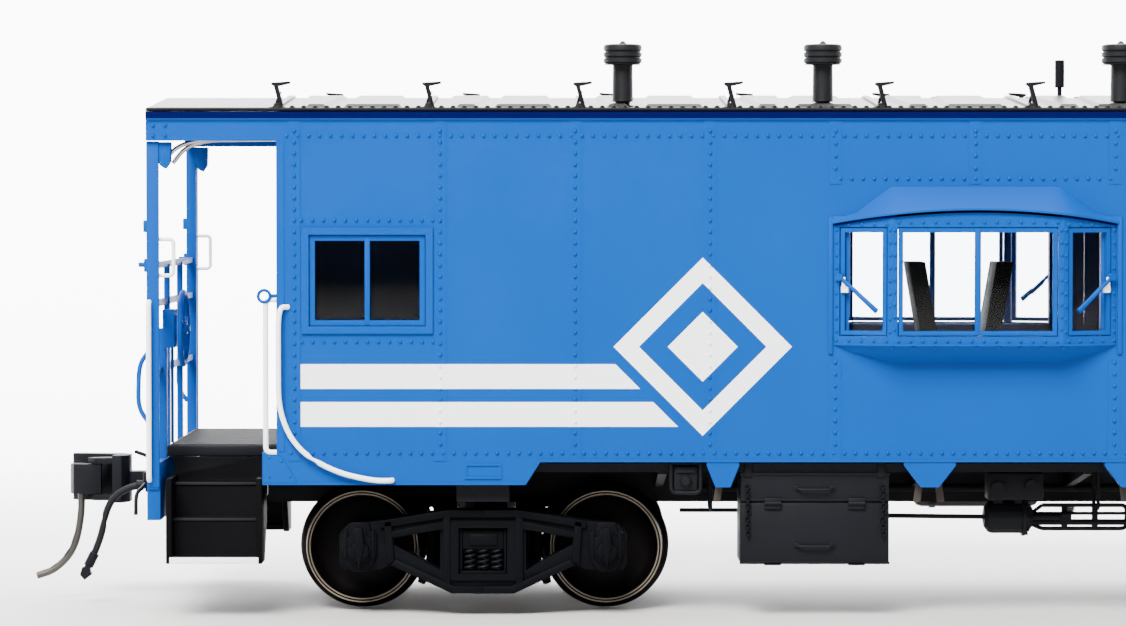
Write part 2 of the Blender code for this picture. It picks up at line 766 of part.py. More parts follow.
def bay_side_cutter(sign):
    """The cutter for the slanted window at one side of a bay."""
    plan = bay_plan(0.0, -HALF_WIDTH)
    corner, base = (Vector((sign * x, y)) for x, y in (plan[2], plan[3]))
    along = (base - corner).normalized()
    outward = Vector((along.y, -along.x)) * sign
    start = corner + along * BAY_SIDE_FRAME
    end = base - along * BAY_SIDE_FRAME
    points = []
    for point in (start, end):
        for push in (-BAY_DEPTH, BAY_SHEET):
            across = point + outward * push
            points.append((*across, BAY_GLAZING_BOTTOM))
            points.append((*across, BAY_GLAZING_TOP))
    return hull("bay_side_window", points)


def bay_window(half, frame):
    """The bay's blue casing: slanted sides, hipped top and apron, open to the house."""
    back = -HALF_WIDTH - FIT
    plan = bay_plan(0.0, back)
    points = [(x, y, BAY_BOTTOM) for x, y in plan]
    points += [(x, y, BAY_CORNER_TOP) for x, y in (plan[0], plan[3])]
    points += [(x, y, BAY_CENTRE_TOP) for x, y in (plan[1], plan[2])]
    points += [(sign * BAY_ROOF_HALF, back, BAY_ROOF_TOP) for sign in (-1, 1)]
    points += [(sign * BAY_ROOF_SHOULDER, back, BAY_CENTRE_TOP) for sign in (-1, 1)]
    points += [(sign * BAY_ROOF_HALF, back, BAY_APRON_BOTTOM) for sign in (-1, 1)]
    casing = hull("bay_window", points)
    behind = [(x, y) for x, y in bay_plan(BAY_SHEET, -HALF_WIDTH + WALL)]
    inside = plate(
        "bay_inside", behind, BAY_BOTTOM + BAY_SHEET, BAY_CORNER_TOP - BAY_SHEET, "Z"
    )
    window_half = BAY_FRONT / 2 - BAY_FRONT_FRAME
    front = block(
        "bay_front_window",
        (-window_half, -HALF_WIDTH - 2 * BAY_DEPTH, BAY_GLAZING_BOTTOM),
        (window_half, -HALF_WIDTH - BAY_DEPTH / 2, BAY_GLAZING_TOP),
    )
    bake(cut(casing, inside, front, bay_side_cutter(-1), bay_side_cutter(1)))
    casing.name = f"bay_window_{SIDE_NAMES[half]}"
    return finish(casing, "blue_plastic", frame)


def bay_glass(half, frame):
    """The clear moulding behind the bay's three windows."""
    back = -HALF_WIDTH - FIT
    outer = bay_plan(BAY_SHEET + FIT, back)
    inner = bay_plan(BAY_SHEET + FIT + GLASS_THICK, back)
    ring = outer + inner[::-1]
    low = BAY_BOTTOM + BAY_SHEET + FIT
    high = BAY_CORNER_TOP - BAY_SHEET - FIT
    glass = plate(f"bay_glass_{SIDE_NAMES[half]}", ring, low, high, "Z")
    return finish(glass, "clear_plastic", frame)


def side_glass(half, frame):
    """The clear pane inside a side window: a lapped plate with a raised middle."""
    left = -HALF_LENGTH + WINDOW_INSET
    inner = -HALF_WIDTH + WALL + FIT
    right = left + WINDOW_WIDTH
    top = WINDOW_SILL + WINDOW_HEIGHT
    pane = block(
        f"side_glass_{SIDE_NAMES[half]}",
        (left - GLASS_LAP, inner, WINDOW_SILL - GLASS_LAP),
        (right + GLASS_LAP, inner + GLASS_THICK, top + GLASS_LAP),
    )
    raised = block(
        "raised_pane",
        (left + FIT, -HALF_WIDTH + WALL / 2, WINDOW_SILL + FIT),
        (right - FIT, inner + GLASS_THICK / 2, top - FIT),
    )
    return finish(bake(join(pane, raised)), "clear_plastic", frame)


# Roof fittings ------------------------------------------------------------------------


def stacks():
    """Three smoke jacks with grooved caps, each on a spigot in the roof."""
    x, y = STACK_PLACES[0]
    seat = roof_top(y) + ROOF_RISE * STACK_RADIUS / ROOF_HALF_WIDTH + FIT
    foot = roof_top(y) - SPIGOT_DEPTH
    cap_bottom = STACK_TOP - STACK_CAP_HEIGHT
    groove_radius = STACK_CAP_RADIUS - STACK_GROOVE
    pitch = (STACK_CAP_HEIGHT - STACK_GROOVE) / STACK_RINGS
    profile = [(0.0, STACK_TOP), (STACK_CROWN_RADIUS, STACK_TOP - STACK_GROOVE)]
    level = STACK_TOP - STACK_GROOVE
    for _ring in range(STACK_RINGS):
        profile += [
            (groove_radius, level),
            (STACK_CAP_RADIUS, level - STACK_GROOVE / 2),
            (STACK_CAP_RADIUS, level - pitch + STACK_GROOVE),
            (groove_radius, level - pitch + STACK_GROOVE / 2),
        ]
        level -= pitch
    profile += [
        (STACK_RADIUS, cap_bottom),
        (STACK_RADIUS, seat),
        (STACK_SPIGOT, seat),
        (STACK_SPIGOT, foot),
        (0.0, foot),
    ]
    first = bake(turned("stack_1", profile, SMALL_SIDES))
    finish(first, "black_plastic", place=(x, y, 0.0))
    for number, (x, y) in enumerate(STACK_PLACES[1:], 2):
        copy_of(first, f"stack_{number}", None, (x, y, 0.0))


def antenna():
    """A stub antenna on a thin stalk."""
    bottom = ANTENNA_TOP - ANTENNA_LENGTH
    profile = [
        (0.0, ANTENNA_TOP),
        (ANTENNA_RADIUS, ANTENNA_TOP),
        (ANTENNA_RADIUS, bottom),
        (ANTENNA_STALK, bottom),
        (ANTENNA_STALK, roof_top(0.0) - SPIGOT_DEPTH),
        (0.0, roof_top(0.0) - SPIGOT_DEPTH),
    ]
    made = turned("antenna", profile, SMALL_SIDES)
    return finish(made, "black_plastic", place=(ANTENNA_X, 0.0, 0.0))


# Underframe, weight and interior ------------------------------------------------------


def underframe():
    """Deck, centre sill, body bolsters, centre plates and cross bearers."""
    half_width = HALF_WIDTH - WALL - FIT
    end = HALF_LENGTH - FIT
    deck = block("underframe", (-end, -half_width, DECK_BOTTOM), (end, half_width, DECK_TOP))
    sill_end = HALF_LENGTH + SILL_PAST_END
    sill_half = SILL_WIDTH / 2
    inside = DECK_BOTTOM + OVERLAP
    join(deck, block("sill", (-sill_end, -sill_half, SILL_BOTTOM), (sill_end, sill_half, inside)))
    reach = half_width - OVERLAP
    plate_bottom = BOLSTER_PLATE_TOP + RUNNING
    for sign in (-1, 1):
        centre = sign * TRUCK_X
        half = BODY_BOLSTER_WIDTH / 2
        low = (centre - half, -reach, BODY_BOLSTER_BOTTOM)
        bolster = block("bolster", low, (centre + half, reach, inside + OVERLAP / 2))
        top = (centre, 0.0, SILL_BOTTOM + OVERLAP)
        centre_plate = rod("plate", (centre, 0.0, plate_bottom), top, CENTRE_PLATE_RADIUS)
        hole_top = plate_bottom + KINGPIN_DEPTH + FIT
        hole = rod(
            "hole",
            (centre, 0.0, plate_bottom - OVERLAP),
            (centre, 0.0, hole_top),
            KINGPIN_RADIUS + FIT,
        )
        cut(join(deck, bolster, centre_plate), hole)
    ring = mirrored_ring(
        [(sill_half, BEARER_BOTTOM), (reach, DECK_BOTTOM - OVERLAP), (reach, inside)]
    )
    for place in BEARER_PLACES:
        start = place - BEARER_THICK / 2
        join(deck, plate("bearer", ring, start, start + BEARER_THICK, "X"))
    return finish(deck, "black_plastic")


def ballast_weight():
    """The steel weight between the underframe and the floor."""
    low = (-WEIGHT_LENGTH / 2, -WEIGHT_WIDTH / 2, DECK_TOP + FIT)
    high = (WEIGHT_LENGTH / 2, WEIGHT_WIDTH / 2, WEIGHT_TOP)
    return finish(block("ballast_weight", low, high), "steel")


def seat(centre, facing):
    """The solids of one crew seat: pedestal, cushion and a back that leans away."""
    pedestal = rod(
        "pedestal",
        (centre, SEAT_Y, FLOOR_TOP - OVERLAP),
        (centre, SEAT_Y, SEAT_HEIGHT - SEAT_THICK + OVERLAP),
        PEDESTAL_RADIUS,
        sides=SMALL_SIDES,
    )
    half = SEAT_WIDTH / 2
    low = (centre - SEAT_LENGTH / 2, SEAT_Y - half, SEAT_HEIGHT - SEAT_THICK)
    cushion = block(
        "cushion", low, (centre + SEAT_LENGTH / 2, SEAT_Y + half, SEAT_HEIGHT)
    )
    rear = centre - facing * (SEAT_LENGTH / 2 - SEAT_BACK_THICK)
    points = []
    for level, lean in ((SEAT_HEIGHT - SEAT_THICK / 2, 0.0), (SEAT_BACK_TOP, SEAT_BACK_LEAN)):
        for thick in (0.0, SEAT_BACK_THICK):
            x = rear - facing * (lean + thick - OVERLAP)
            for side in (-1, 1):
                points.append((x, SEAT_Y + side * (half - OVERLAP), level))
    return pedestal, cushion, hull("back", points)


def interior():
    """Floor, two partitions with doorways, and a pair of seats at the bay."""
    end = HALF_LENGTH - WALL - 2 * OVERLAP
    half_width = HALF_WIDTH - WALL - GLASS_THICK - 2 * FIT - OVERLAP
    floor = block(
        "interior", (-end, -half_width, WEIGHT_TOP + FIT), (end, half_width, FLOOR_TOP)
    )
    ring = [
        (DOORWAY_HALF, FLOOR_TOP - OVERLAP),
        (half_width - OVERLAP, FLOOR_TOP - OVERLAP),
        (half_width - OVERLAP, PARTITION_TOP),
        (-half_width + OVERLAP, PARTITION_TOP),
        (-half_width + OVERLAP, FLOOR_TOP - OVERLAP),
        (-DOORWAY_HALF, FLOOR_TOP - OVERLAP),
        (-DOORWAY_HALF, DOORWAY_TOP),
        (DOORWAY_HALF, DOORWAY_TOP),
    ]
    for place in PARTITION_PLACES:
        start = place - PARTITION_THICK / 2
        join(floor, plate("partition", ring, start, start + PARTITION_THICK, "X"))
    for centre, facing in zip(SEAT_CENTRES, (1, -1)):
        join(floor, *seat(centre, facing))
    return finish(floor, "interior_plastic")


# Platforms, steps and end frames, drawn at the A end ----------------------------------


def platform(half, frame):
    """The end platform between the step wells."""
    near = -HALF_LENGTH - FIT
    reach = HALF_WIDTH - STEP_WELL - FIT
    bottom = PLATFORM_TOP - PLATFORM_THICK
    deck = block(
        f"platform_{half}_end", (-PLATFORM_END, -reach, bottom), (near, reach, PLATFORM_TOP)
    )
    return finish(deck, "black_plastic", frame)


def steps(half, frame):
    """The pair of boarding steps at an end: stringers, three treads and their risers."""
    outer = -HALF_WIDTH + STEP_INSET
    inner = -HALF_WIDTH + STEP_WELL
    low_x = -STEP_FAR
    high_x = -HALF_LENGTH - STEP_NEAR_END
    top = SKIRT_BOTTOM + STEP_TREAD
    bottom = STEP_LEVELS[-1] - STEP_TREAD
    back = block(
        "steps",
        (low_x + OVERLAP, inner - STRINGER_THICK, STEP_LEVELS[1] - STEP_TREAD / 2),
        (high_x - OVERLAP, inner, PLATFORM_TOP - PLATFORM_THICK),
    )
    ring = [
        (outer, bottom - OVERLAP / 2),
        (outer, top),
        (inner - OVERLAP / 2, top),
        (inner - OVERLAP / 2, STEP_LEVELS[1] - STEP_TREAD),
        (outer + STEP_TREAD_DEPTH + STRINGER_THICK, bottom - OVERLAP / 2),
    ]
    pieces = []
    for start in (low_x, high_x - STRINGER_THICK):
        pieces.append(plate("stringer", ring, start, start + STRINGER_THICK, "X"))
    run = (STEP_WELL - STEP_INSET - STEP_TREAD_DEPTH) / (len(STEP_LEVELS) - 1)
    for count, level in enumerate(reversed(STEP_LEVELS)):
        edge = outer + OVERLAP / 2 + count * run
        rear = min(edge + STEP_TREAD_DEPTH, inner - OVERLAP)
        low = (low_x + OVERLAP, edge, level - STEP_TREAD)
        pieces.append(block("tread", low, (high_x - OVERLAP, rear, level)))
        if count < len(STEP_LEVELS) - 1:
            above = STEP_LEVELS[len(STEP_LEVELS) - 2 - count]
            low = (low_x + OVERLAP, edge + run, level - STEP_TREAD / 2)
            high = (high_x - OVERLAP, edge + run + STRINGER_THICK, above - STEP_TREAD / 2)
            pieces.append(block("riser", low, high))
    bake(join(back, *pieces))
    back.name = f"steps_{half}_left"
    finish(back, "black_plastic", frame)
    copy_of(back, f"steps_{half}_right", frame, scale=(1.0, -1.0, 1.0))


def end_frame(half, frame):
    """End sill, corner posts, railing and brake stand, in one piece."""
    x = -END_SILL_X
    outer_x = x - END_SILL_THICK
    half_width = HALF_WIDTH - POST_INSET
    sill_ring = mirrored_ring(
        [
            (END_SILL_NOTCH, END_SILL_NOTCH_TOP),
            (END_SILL_NOTCH, END_SILL_BOTTOM),
            (half_width - OVERLAP, END_SILL_BOTTOM),
            (half_width - OVERLAP, END_SILL_TOP),
        ]
    )
    sill = plate("end_frame", sill_ring, outer_x, x, "X")
    post_x = (outer_x + OVERLAP / 2, outer_x + OVERLAP / 2 + POST_SIZE)
    top = EAVE_HEIGHT - FASCIA_DEPTH - FIT
    pieces = []
    for side in (-1, 1):
        low_y, high_y = sorted((side * half_width, side * (half_width - POST_SIZE)))
        low = (post_x[0], low_y, POST_FOOT)
        pieces.append(block("post", low, (post_x[1], high_y, top)))
        gate_y = side * GATE_POST
        pieces.append(
            block(
                "gate_post",
                (post_x[0] + OVERLAP, gate_y - RAIL_SIZE / 2, END_SILL_TOP - OVERLAP),
                (post_x[0] + OVERLAP + RAIL_SIZE, gate_y + RAIL_SIZE / 2, RAIL_LEVELS[-1]),
            )
        )
    reach = half_width - OVERLAP
    for level in RAIL_LEVELS:
        low = (post_x[0] + OVERLAP / 2, -reach, level - RAIL_SIZE / 2)
        high = (post_x[0] + OVERLAP / 2 + RAIL_SIZE, reach, level + RAIL_SIZE / 2)
        pieces.append(block("rail", low, high))
    stand_half = BRAKE_STAND / 2
    stand_x = post_x[0] + OVERLAP
    pieces.append(
        block(
            "stand",
            (stand_x, BRAKE_Y - stand_half, END_SILL_TOP - OVERLAP / 2),
            (stand_x + BRAKE_STAND_DEPTH, BRAKE_Y + stand_half, BRAKE_Z),
        )
    )
    housing = BRAKE_HOUSING / 2
    face = brake_face()
    low = (face - BRAKE_HOUSING_THICK, BRAKE_Y - housing, BRAKE_Z - housing)
    pieces.append(block("housing", low, (face, BRAKE_Y + housing, BRAKE_Z + housing)))
    start = (face - OVERLAP, BRAKE_Y, BRAKE_Z)
    tip = (face + FIT + BRAKE_HUB_LENGTH / 2, BRAKE_Y, BRAKE_Z)
    pieces.append(rod("pin", start, tip, BRAKE_PIN_RADIUS, sides=SMALL_SIDES))
    bake(join(sill, *pieces))
    sill.name = f"end_frame_{half}"
    return finish(sill, "blue_plastic", frame)


def brake_face():
    """Place along the car of the face of the brake housing, at the A end."""
    return -END_SILL_X - END_SILL_THICK + OVERLAP * 1.5 + BRAKE_HOUSING_THICK + RAIL_SIZE


def brake_wheel(half, frame):
    """The hand brake wheel: rim, dished spokes and a hub that turns on the housing's pin."""
    rim = turned(
        "brake_wheel",
        [
            (
                BRAKE_WHEEL_RADIUS - BRAKE_RIM_RADIUS + BRAKE_RIM_RADIUS * math.cos(angle),
                BRAKE_RIM_RADIUS * math.sin(angle),
            )
            for angle in (-2 * math.pi * step / RIM_SIDES for step in range(RIM_SIDES))
        ],
        WHEEL_SIDES,
        ring=True,
    )
    depth = BRAKE_HUB_LENGTH / 2
    hub = rod("hub", (0, 0, -depth), (0, 0, depth), BRAKE_HUB_RADIUS, sides=SMALL_SIDES)
    spokes = []
    for count in range(BRAKE_SPOKES):
        angle = 2 * math.pi * count / BRAKE_SPOKES
        outward = Vector((math.cos(angle), math.sin(angle), 0.0))
        start = outward * (BRAKE_HUB_RADIUS - OVERLAP)
        end = outward * (BRAKE_WHEEL_RADIUS - BRAKE_RIM_RADIUS)
        spokes.append(rod("spoke", start, end, BRAKE_SPOKE_RADIUS, sides=SPOKE_SIDES))
    bore_top = (0, 0, OVERLAP)
    bore = rod("bore", (0, 0, -2 * depth), bore_top, BRAKE_PIN_RADIUS + FIT, sides=SMALL_SIDES)
    bake(cut(join(rim, hub, *spokes), bore))
    rim.data.transform(Matrix.Rotation(math.pi / 2, 4, "Y"))
    rim.name = f"brake_wheel_{half}"
    place = (brake_face() + FIT + BRAKE_HUB_LENGTH / 2 + OVERLAP, BRAKE_Y, BRAKE_Z)
    return finish(rim, "blue_plastic", frame, place)


def curved_handrails(half, frame):
    """The white handrails that sweep down and along the side from each end corner."""
    wall_y = -HALF_WIDTH - FIT
    y = -HALF_WIDTH - RAIL_STAND_OFF
    feet = [(inward - HALF_LENGTH, wall_y, z) for inward, z in (RAIL_TOP_FOOT, RAIL_LOW_FOOT)]
    sweep = [(inward - HALF_LENGTH, y, z) for inward, z in RAIL_SWEEP]
    path = rounded([feet[0], *sweep, feet[1]], RAIL_BEND)
    rail = as_mesh(wire(f"curved_handrail_{half}_left", path[::2] + [path[-1]], RAIL_WIRE))
    finish(rail, "white_wire", frame)
    copy_of(rail, f"curved_handrail_{half}_right", frame, scale=(1.0, -1.0, 1.0))


def air_hose(half, frame):
    """The brake hose, moulded hanging from its cock on the end sill."""
    x = -END_SILL_X - END_SILL_THICK - FIT
    path = rounded([(x - outward, HOSE_Y, z) for outward, z in HOSE_ROUTE], HOSE_BEND)
    hose = as_mesh(wire(f"air_hose_{half}", path[::2] + [path[-1]], HOSE_RADIUS))
    return finish(hose, "hose_rubber", frame)


# Brake gear and boxes under the floor -------------------------------------------------


def battery_box():
    """The equipment box under the side, with a lid line round it."""
    right = BOX_LEFT + BOX_LENGTH
    high = (right, BOX_Y + BOX_DEPTH, DECK_BOTTOM - FIT)
    body = block("battery_box", (BOX_LEFT, BOX_Y, BOX_BOTTOM), high)
    groove = block(
        "groove",
        (BOX_LEFT - BOX_GROOVE, BOX_Y - BOX_GROOVE, BOX_LID_LEVEL),
        (right + BOX_GROOVE, BOX_Y + BOX_GROOVE, BOX_LID_LEVEL + BOX_GROOVE),
    )
    return finish(cut(body, groove), "black_plastic")


def cylinder_pieces(name, centre, radius, length, hanger_half):
    """A tank along the car, with rounded ends and a hanger up to the deck."""
    x, y, z = centre
    half = length / 2
    upper = [(radius * out, half - radius * inward) for out, inward in TANK_END]
    profile = upper + [(out, -height) for out, height in reversed(upper)]
    tank = bake(turned(name, profile))
    tank.data.transform(Matrix.Translation(centre) @ Matrix.Rotation(math.pi / 2, 4, "Y"))
    for sign in (-1, 1):
        place = x + sign * hanger_half
        low = (place - HANGER_THICK / 2, y - radius / 2, z)
        high = (place + HANGER_THICK / 2, y + radius / 2, DECK_BOTTOM - FIT)
        join(tank, block("hanger", low, high))
    return finish(tank, "black_plastic")


def brake_gear():
    """The brake cylinder and the air reservoir."""
    centre = (CYLINDER_X, CYLINDER_Y, CYLINDER_Z)
    cylinder_pieces(
        "brake_cylinder", centre, CYLINDER_RADIUS, CYLINDER_LENGTH, CYLINDER_HANGER
    )
    left, right = BEARER_PLACES[1:3]
    length = right - left - BEARER_THICK - 2 * RESERVOIR_GAP
    centre = ((left + right) / 2, RESERVOIR_Y, RESERVOIR_Z)
    cylinder_pieces("air_reservoir", centre, RESERVOIR_RADIUS, length, RESERVOIR_HANGER)


# Couplers, drawn at the A end with the pivot at the origin ----------------------------


def draft_box(half, frame):
    """The coupler's box, open at its mouth, with the pivot post inside."""
    half_width = DRAFT_BOX_WIDTH / 2
    near = SWING_FROM_FACE - DRAFT_BOX_LENGTH
    box = block(
        "draft_box",
        (-SWING_FROM_FACE, -half_width, DRAFT_BOX_BOTTOM),
        (-near, half_width, DRAFT_BOX_TOP),
    )
    inner = half_width - DRAFT_BOX_SHEET
    room = SHANK_THICK / 2 + RUNNING
    cavity = block(
        "cavity",
        (-SWING_FROM_FACE - OVERLAP, -inner, COUPLER_HEIGHT - room),
        (SHANK_EYE_RADIUS + OVERLAP, inner, COUPLER_HEIGHT + room),
    )
    post = rod(
        "post",
        (0, 0, DRAFT_BOX_BOTTOM + OVERLAP),
        (0, 0, DRAFT_BOX_TOP - OVERLAP),
        SWING_POST_RADIUS,
        sides=SMALL_SIDES,
    )
    bake(join(cut(box, cavity), post))
    box.name = f"coupler_box_{half}"
    return finish(box, "black_plastic", frame, (-SWING_X, 0.0, 0.0))


def coupler_head(half, frame):
    """Shank and head of the coupler, which swings on the post of its box."""
    low, high = COUPLER_HEIGHT - SHANK_THICK / 2, COUPLER_HEIGHT + SHANK_THICK / 2
    shank_half = SHANK_WIDTH / 2
    shank = block("coupler", (-HEAD_NEAR - OVERLAP, -shank_half, low), (0, shank_half, high))
    eye = rod(
        "eye", (0, 0, low + FIT / 2), (0, 0, high - FIT / 2), SHANK_EYE_RADIUS
    )
    half_height = HEAD_HEIGHT / 2
    head = plate("head", HEAD_OUTLINE, COUPLER_HEIGHT - half_height, COUPLER_HEIGHT + half_height)
    pivot_x, pivot_y = -KNUCKLE_PIVOT[0], KNUCKLE_PIVOT[1]
    pieces = []
    for sign in (-1, 1):
        inner = COUPLER_HEIGHT + sign * (KNUCKLE_HEIGHT / 2 + FIT)
        outer = COUPLER_HEIGHT + sign * (half_height - OVERLAP)
        low_z, high_z = sorted((inner, outer))
        lug_ring = [
            *LUG_ROOT,
            (pivot_x, pivot_y - LUG_REACH),
            (pivot_x - LUG_REACH, pivot_y),
            (pivot_x, pivot_y + LUG_REACH),
        ]
        pieces.append(plate("lug", lug_ring, low_z, high_z))
    pin_low = (pivot_x, pivot_y, COUPLER_HEIGHT - half_height + 2 * OVERLAP)
    pin_high = (pivot_x, pivot_y, COUPLER_HEIGHT + half_height - 2 * OVERLAP)
    pieces.append(rod("knuckle_pin", pin_low, pin_high, KNUCKLE_PIN_RADIUS, sides=SMALL_SIDES))
    bore = rod(
        "bore",
        (0, 0, DRAFT_BOX_BOTTOM),
        (0, 0, DRAFT_BOX_TOP),
        SWING_POST_RADIUS + RUNNING,
        sides=SMALL_SIDES,
    )
    bake(cut(join(shank, eye, head, *pieces), bore))
    shank.name = f"coupler_head_{half}"
    return finish(shank, "black_plastic", frame, (-SWING_X, 0.0, 0.0))


def coupler_knuckle(half, frame):
    """The hook that closes on another coupler, with its trip pin, about its own pivot."""
    half_height = KNUCKLE_HEIGHT / 2
    hook = plate("knuckle", HOOK_OUTLINE, -half_height, half_height)
    pin_x, pin_y = TRIP_PIN_PLACE
    route = [(x, pin_y, z) for x, z in TRIP_PIN_ROUTE]
    path = rounded([(pin_x, pin_y, -half_height + OVERLAP), *route], TRIP_PIN_BEND)
    pin = as_mesh(wire("trip_pin", path[::2] + [path[-1]], TRIP_PIN_RADIUS))
    bore = rod(
        "bore",
        (0, 0, -2 * half_height),
        (0, 0, 2 * half_height),
        KNUCKLE_PIN_RADIUS + FIT,
        sides=SMALL_SIDES,
    )
    bake(cut(join(hook, pin), bore))
    hook.name = f"coupler_knuckle_{half}"
    place = (-SWING_X - KNUCKLE_PIVOT[0], KNUCKLE_PIVOT[1], COUPLER_HEIGHT)
    return finish(hook, "black_plastic", frame, place)


# Trucks, drawn with the kingpin on the Z axis -----------------------------------------


def side_frame_outline():
    """A cast side frame: chords, pedestals over the axles, and three openings."""
    axle = WHEELBASE / 2
    outer = axle + PEDESTAL_HALF
    right = [
        (CHORD_BOTTOM_HALF, CHORD_BOTTOM),
        (axle - PEDESTAL_HALF - PEDESTAL_HEEL[0], PEDESTAL_BOTTOM + PEDESTAL_HEEL[1]),
        (axle - PEDESTAL_HALF, PEDESTAL_BOTTOM),
        (outer - PEDESTAL_TOE[0], PEDESTAL_BOTTOM),
        (outer, PEDESTAL_BOTTOM + PEDESTAL_TOE[1]),
        (outer, PEDESTAL_TOP - PEDESTAL_SHOULDER[1]),
        (outer - PEDESTAL_SHOULDER[0], PEDESTAL_TOP),
        (axle - PEDESTAL_HALF, PEDESTAL_TOP + PEDESTAL_CROWN),
        (CHORD_TOP_HALF, CHORD_TOP),
    ]
    outline = mirrored_ring(right)
    window = [
        (FRAME_WINDOW_HALF, FRAME_WINDOW_BOTTOM),
        (FRAME_WINDOW_HALF, FRAME_WINDOW_TOP),
        (-FRAME_WINDOW_HALF, FRAME_WINDOW_TOP),
        (-FRAME_WINDOW_HALF, FRAME_WINDOW_BOTTOM),
    ]
    opening = [
        (FRAME_OPENING_NEAR, FRAME_OPENING_BOTTOM - FRAME_OPENING_DROP),
        (FRAME_OPENING_FAR, FRAME_OPENING_POINT),
        (FRAME_OPENING_FAR, FRAME_OPENING_POINT + FRAME_OPENING_END),
        (FRAME_OPENING_NEAR, FRAME_OPENING_TOP),
    ]
    return outline, [window, opening, [(-x, z) for x, z in opening]]


def side_frame():
    """A side frame on the near side of a truck, with cups for the axle points."""
    outline, holes = side_frame_outline()
    frame = plate("side_frame", outline, -FRAME_INNER - FRAME_THICK, -FRAME_INNER, "Y", holes)
    cup_depth = AXLE_LENGTH / 2 + RUNNING
    for sign in (-1, 1):
        x = sign * WHEELBASE / 2
        cup = rod(
            "cup",
            (x, -cup_depth, FLANGE_RADIUS),
            (x, -FRAME_INNER + OVERLAP, FLANGE_RADIUS),
            AXLE_RADIUS + RUNNING,
            sides=SMALL_SIDES,
        )
        cut(frame, cup)
    return bake(frame)


def truck_bolster():
    """The crosswise beam that carries the car, with tongues into the side frames."""
    half = BOLSTER_WIDTH / 2
    reach = FRAME_INNER - FIT
    tongue_half = FRAME_WINDOW_HALF - 2 * FIT
    tongue_reach = FRAME_INNER + BOLSTER_TONGUE
    beam = block("bolster", (-half, -reach, BOLSTER_BOTTOM), (half, reach, BOLSTER_TOP))
    top = min(BOLSTER_TOP, FRAME_WINDOW_TOP) - FIT
    low = (-min(tongue_half, half - FIT), -tongue_reach, BOLSTER_BOTTOM + OVERLAP)
    tongue = block("tongue", low, (-low[0], tongue_reach, top))
    plate_low = (0, 0, BOLSTER_TOP - OVERLAP)
    centre = rod("centre", plate_low, (0, 0, BOLSTER_PLATE_TOP), CENTRE_PLATE_RADIUS)
    hole = rod(
        "hole",
        (0, 0, BOLSTER_BOTTOM - OVERLAP),
        (0, 0, BOLSTER_PLATE_TOP + OVERLAP),
        KINGPIN_RADIUS + RUNNING,
    )
    seat_top = BOLSTER_BOTTOM + KINGPIN_HEAD + RUNNING
    recess = rod(
        "recess",
        (0, 0, BOLSTER_BOTTOM - OVERLAP),
        (0, 0, seat_top),
        KINGPIN_HEAD_RADIUS + RUNNING,
    )
    return bake(cut(join(beam, tongue, centre), hole, recess))


def kingpin():
    """The screw that holds a truck to the underframe."""
    head_top = BOLSTER_BOTTOM + KINGPIN_HEAD
    tip = BOLSTER_PLATE_TOP + RUNNING + KINGPIN_DEPTH
    profile = [
        (0.0, tip),
        (KINGPIN_RADIUS, tip),
        (KINGPIN_RADIUS, head_top),
        (KINGPIN_HEAD_RADIUS, head_top),
        (KINGPIN_HEAD_RADIUS, BOLSTER_BOTTOM),
        (0.0, BOLSTER_BOTTOM),
    ]
    return bake(turned("kingpin", profile))


def axle():
    """A needle-point axle along Y."""
    half = AXLE_LENGTH / 2
    profile = [
        (0.0, half),
        (AXLE_TIP_RADIUS, half),
        (AXLE_RADIUS, half - AXLE_POINT),
        (AXLE_RADIUS, -half + AXLE_POINT),
        (AXLE_TIP_RADIUS, -half),
        (0.0, -half),
    ]
    made = bake(turned("axle", profile, SMALL_SIDES))
    made.data.transform(Matrix.Rotation(math.pi / 2, 4, "X"))
    return made


def wheel():
    """A flanged wheel on the near end of an axle: bore, hub, dished plate, rim and tread."""
    back = -BACK_TO_BACK / 2
    face = back - WHEEL_WIDTH
    bore = AXLE_RADIUS + FIT
    rim_inner = TREAD_RADIUS - RIM_WIDTH
    profile = [
        (FLANGE_RADIUS, back),
        (FLANGE_RADIUS, back - FLANGE_WIDTH / 2),
        (TREAD_RADIUS, back - FLANGE_WIDTH),
        (TREAD_RADIUS - TREAD_TAPER, face),
        (rim_inner, face),
        (rim_inner, face + PLATE_DIP),
        (HUB_RADIUS, face + PLATE_DIP),
        (HUB_RADIUS, face + PLATE_DIP / 4),
        (bore, face + PLATE_DIP / 4),
        (bore, back),
    ]
    made = bake(turned("wheel", profile, WHEEL_SIDES, ring=True))
    made.data.transform(Matrix.Rotation(-math.pi / 2, 4, "X") @ Matrix.Scale(-1, 4, (0, 0, 1)))
    made.data.flip_normals()
    return made


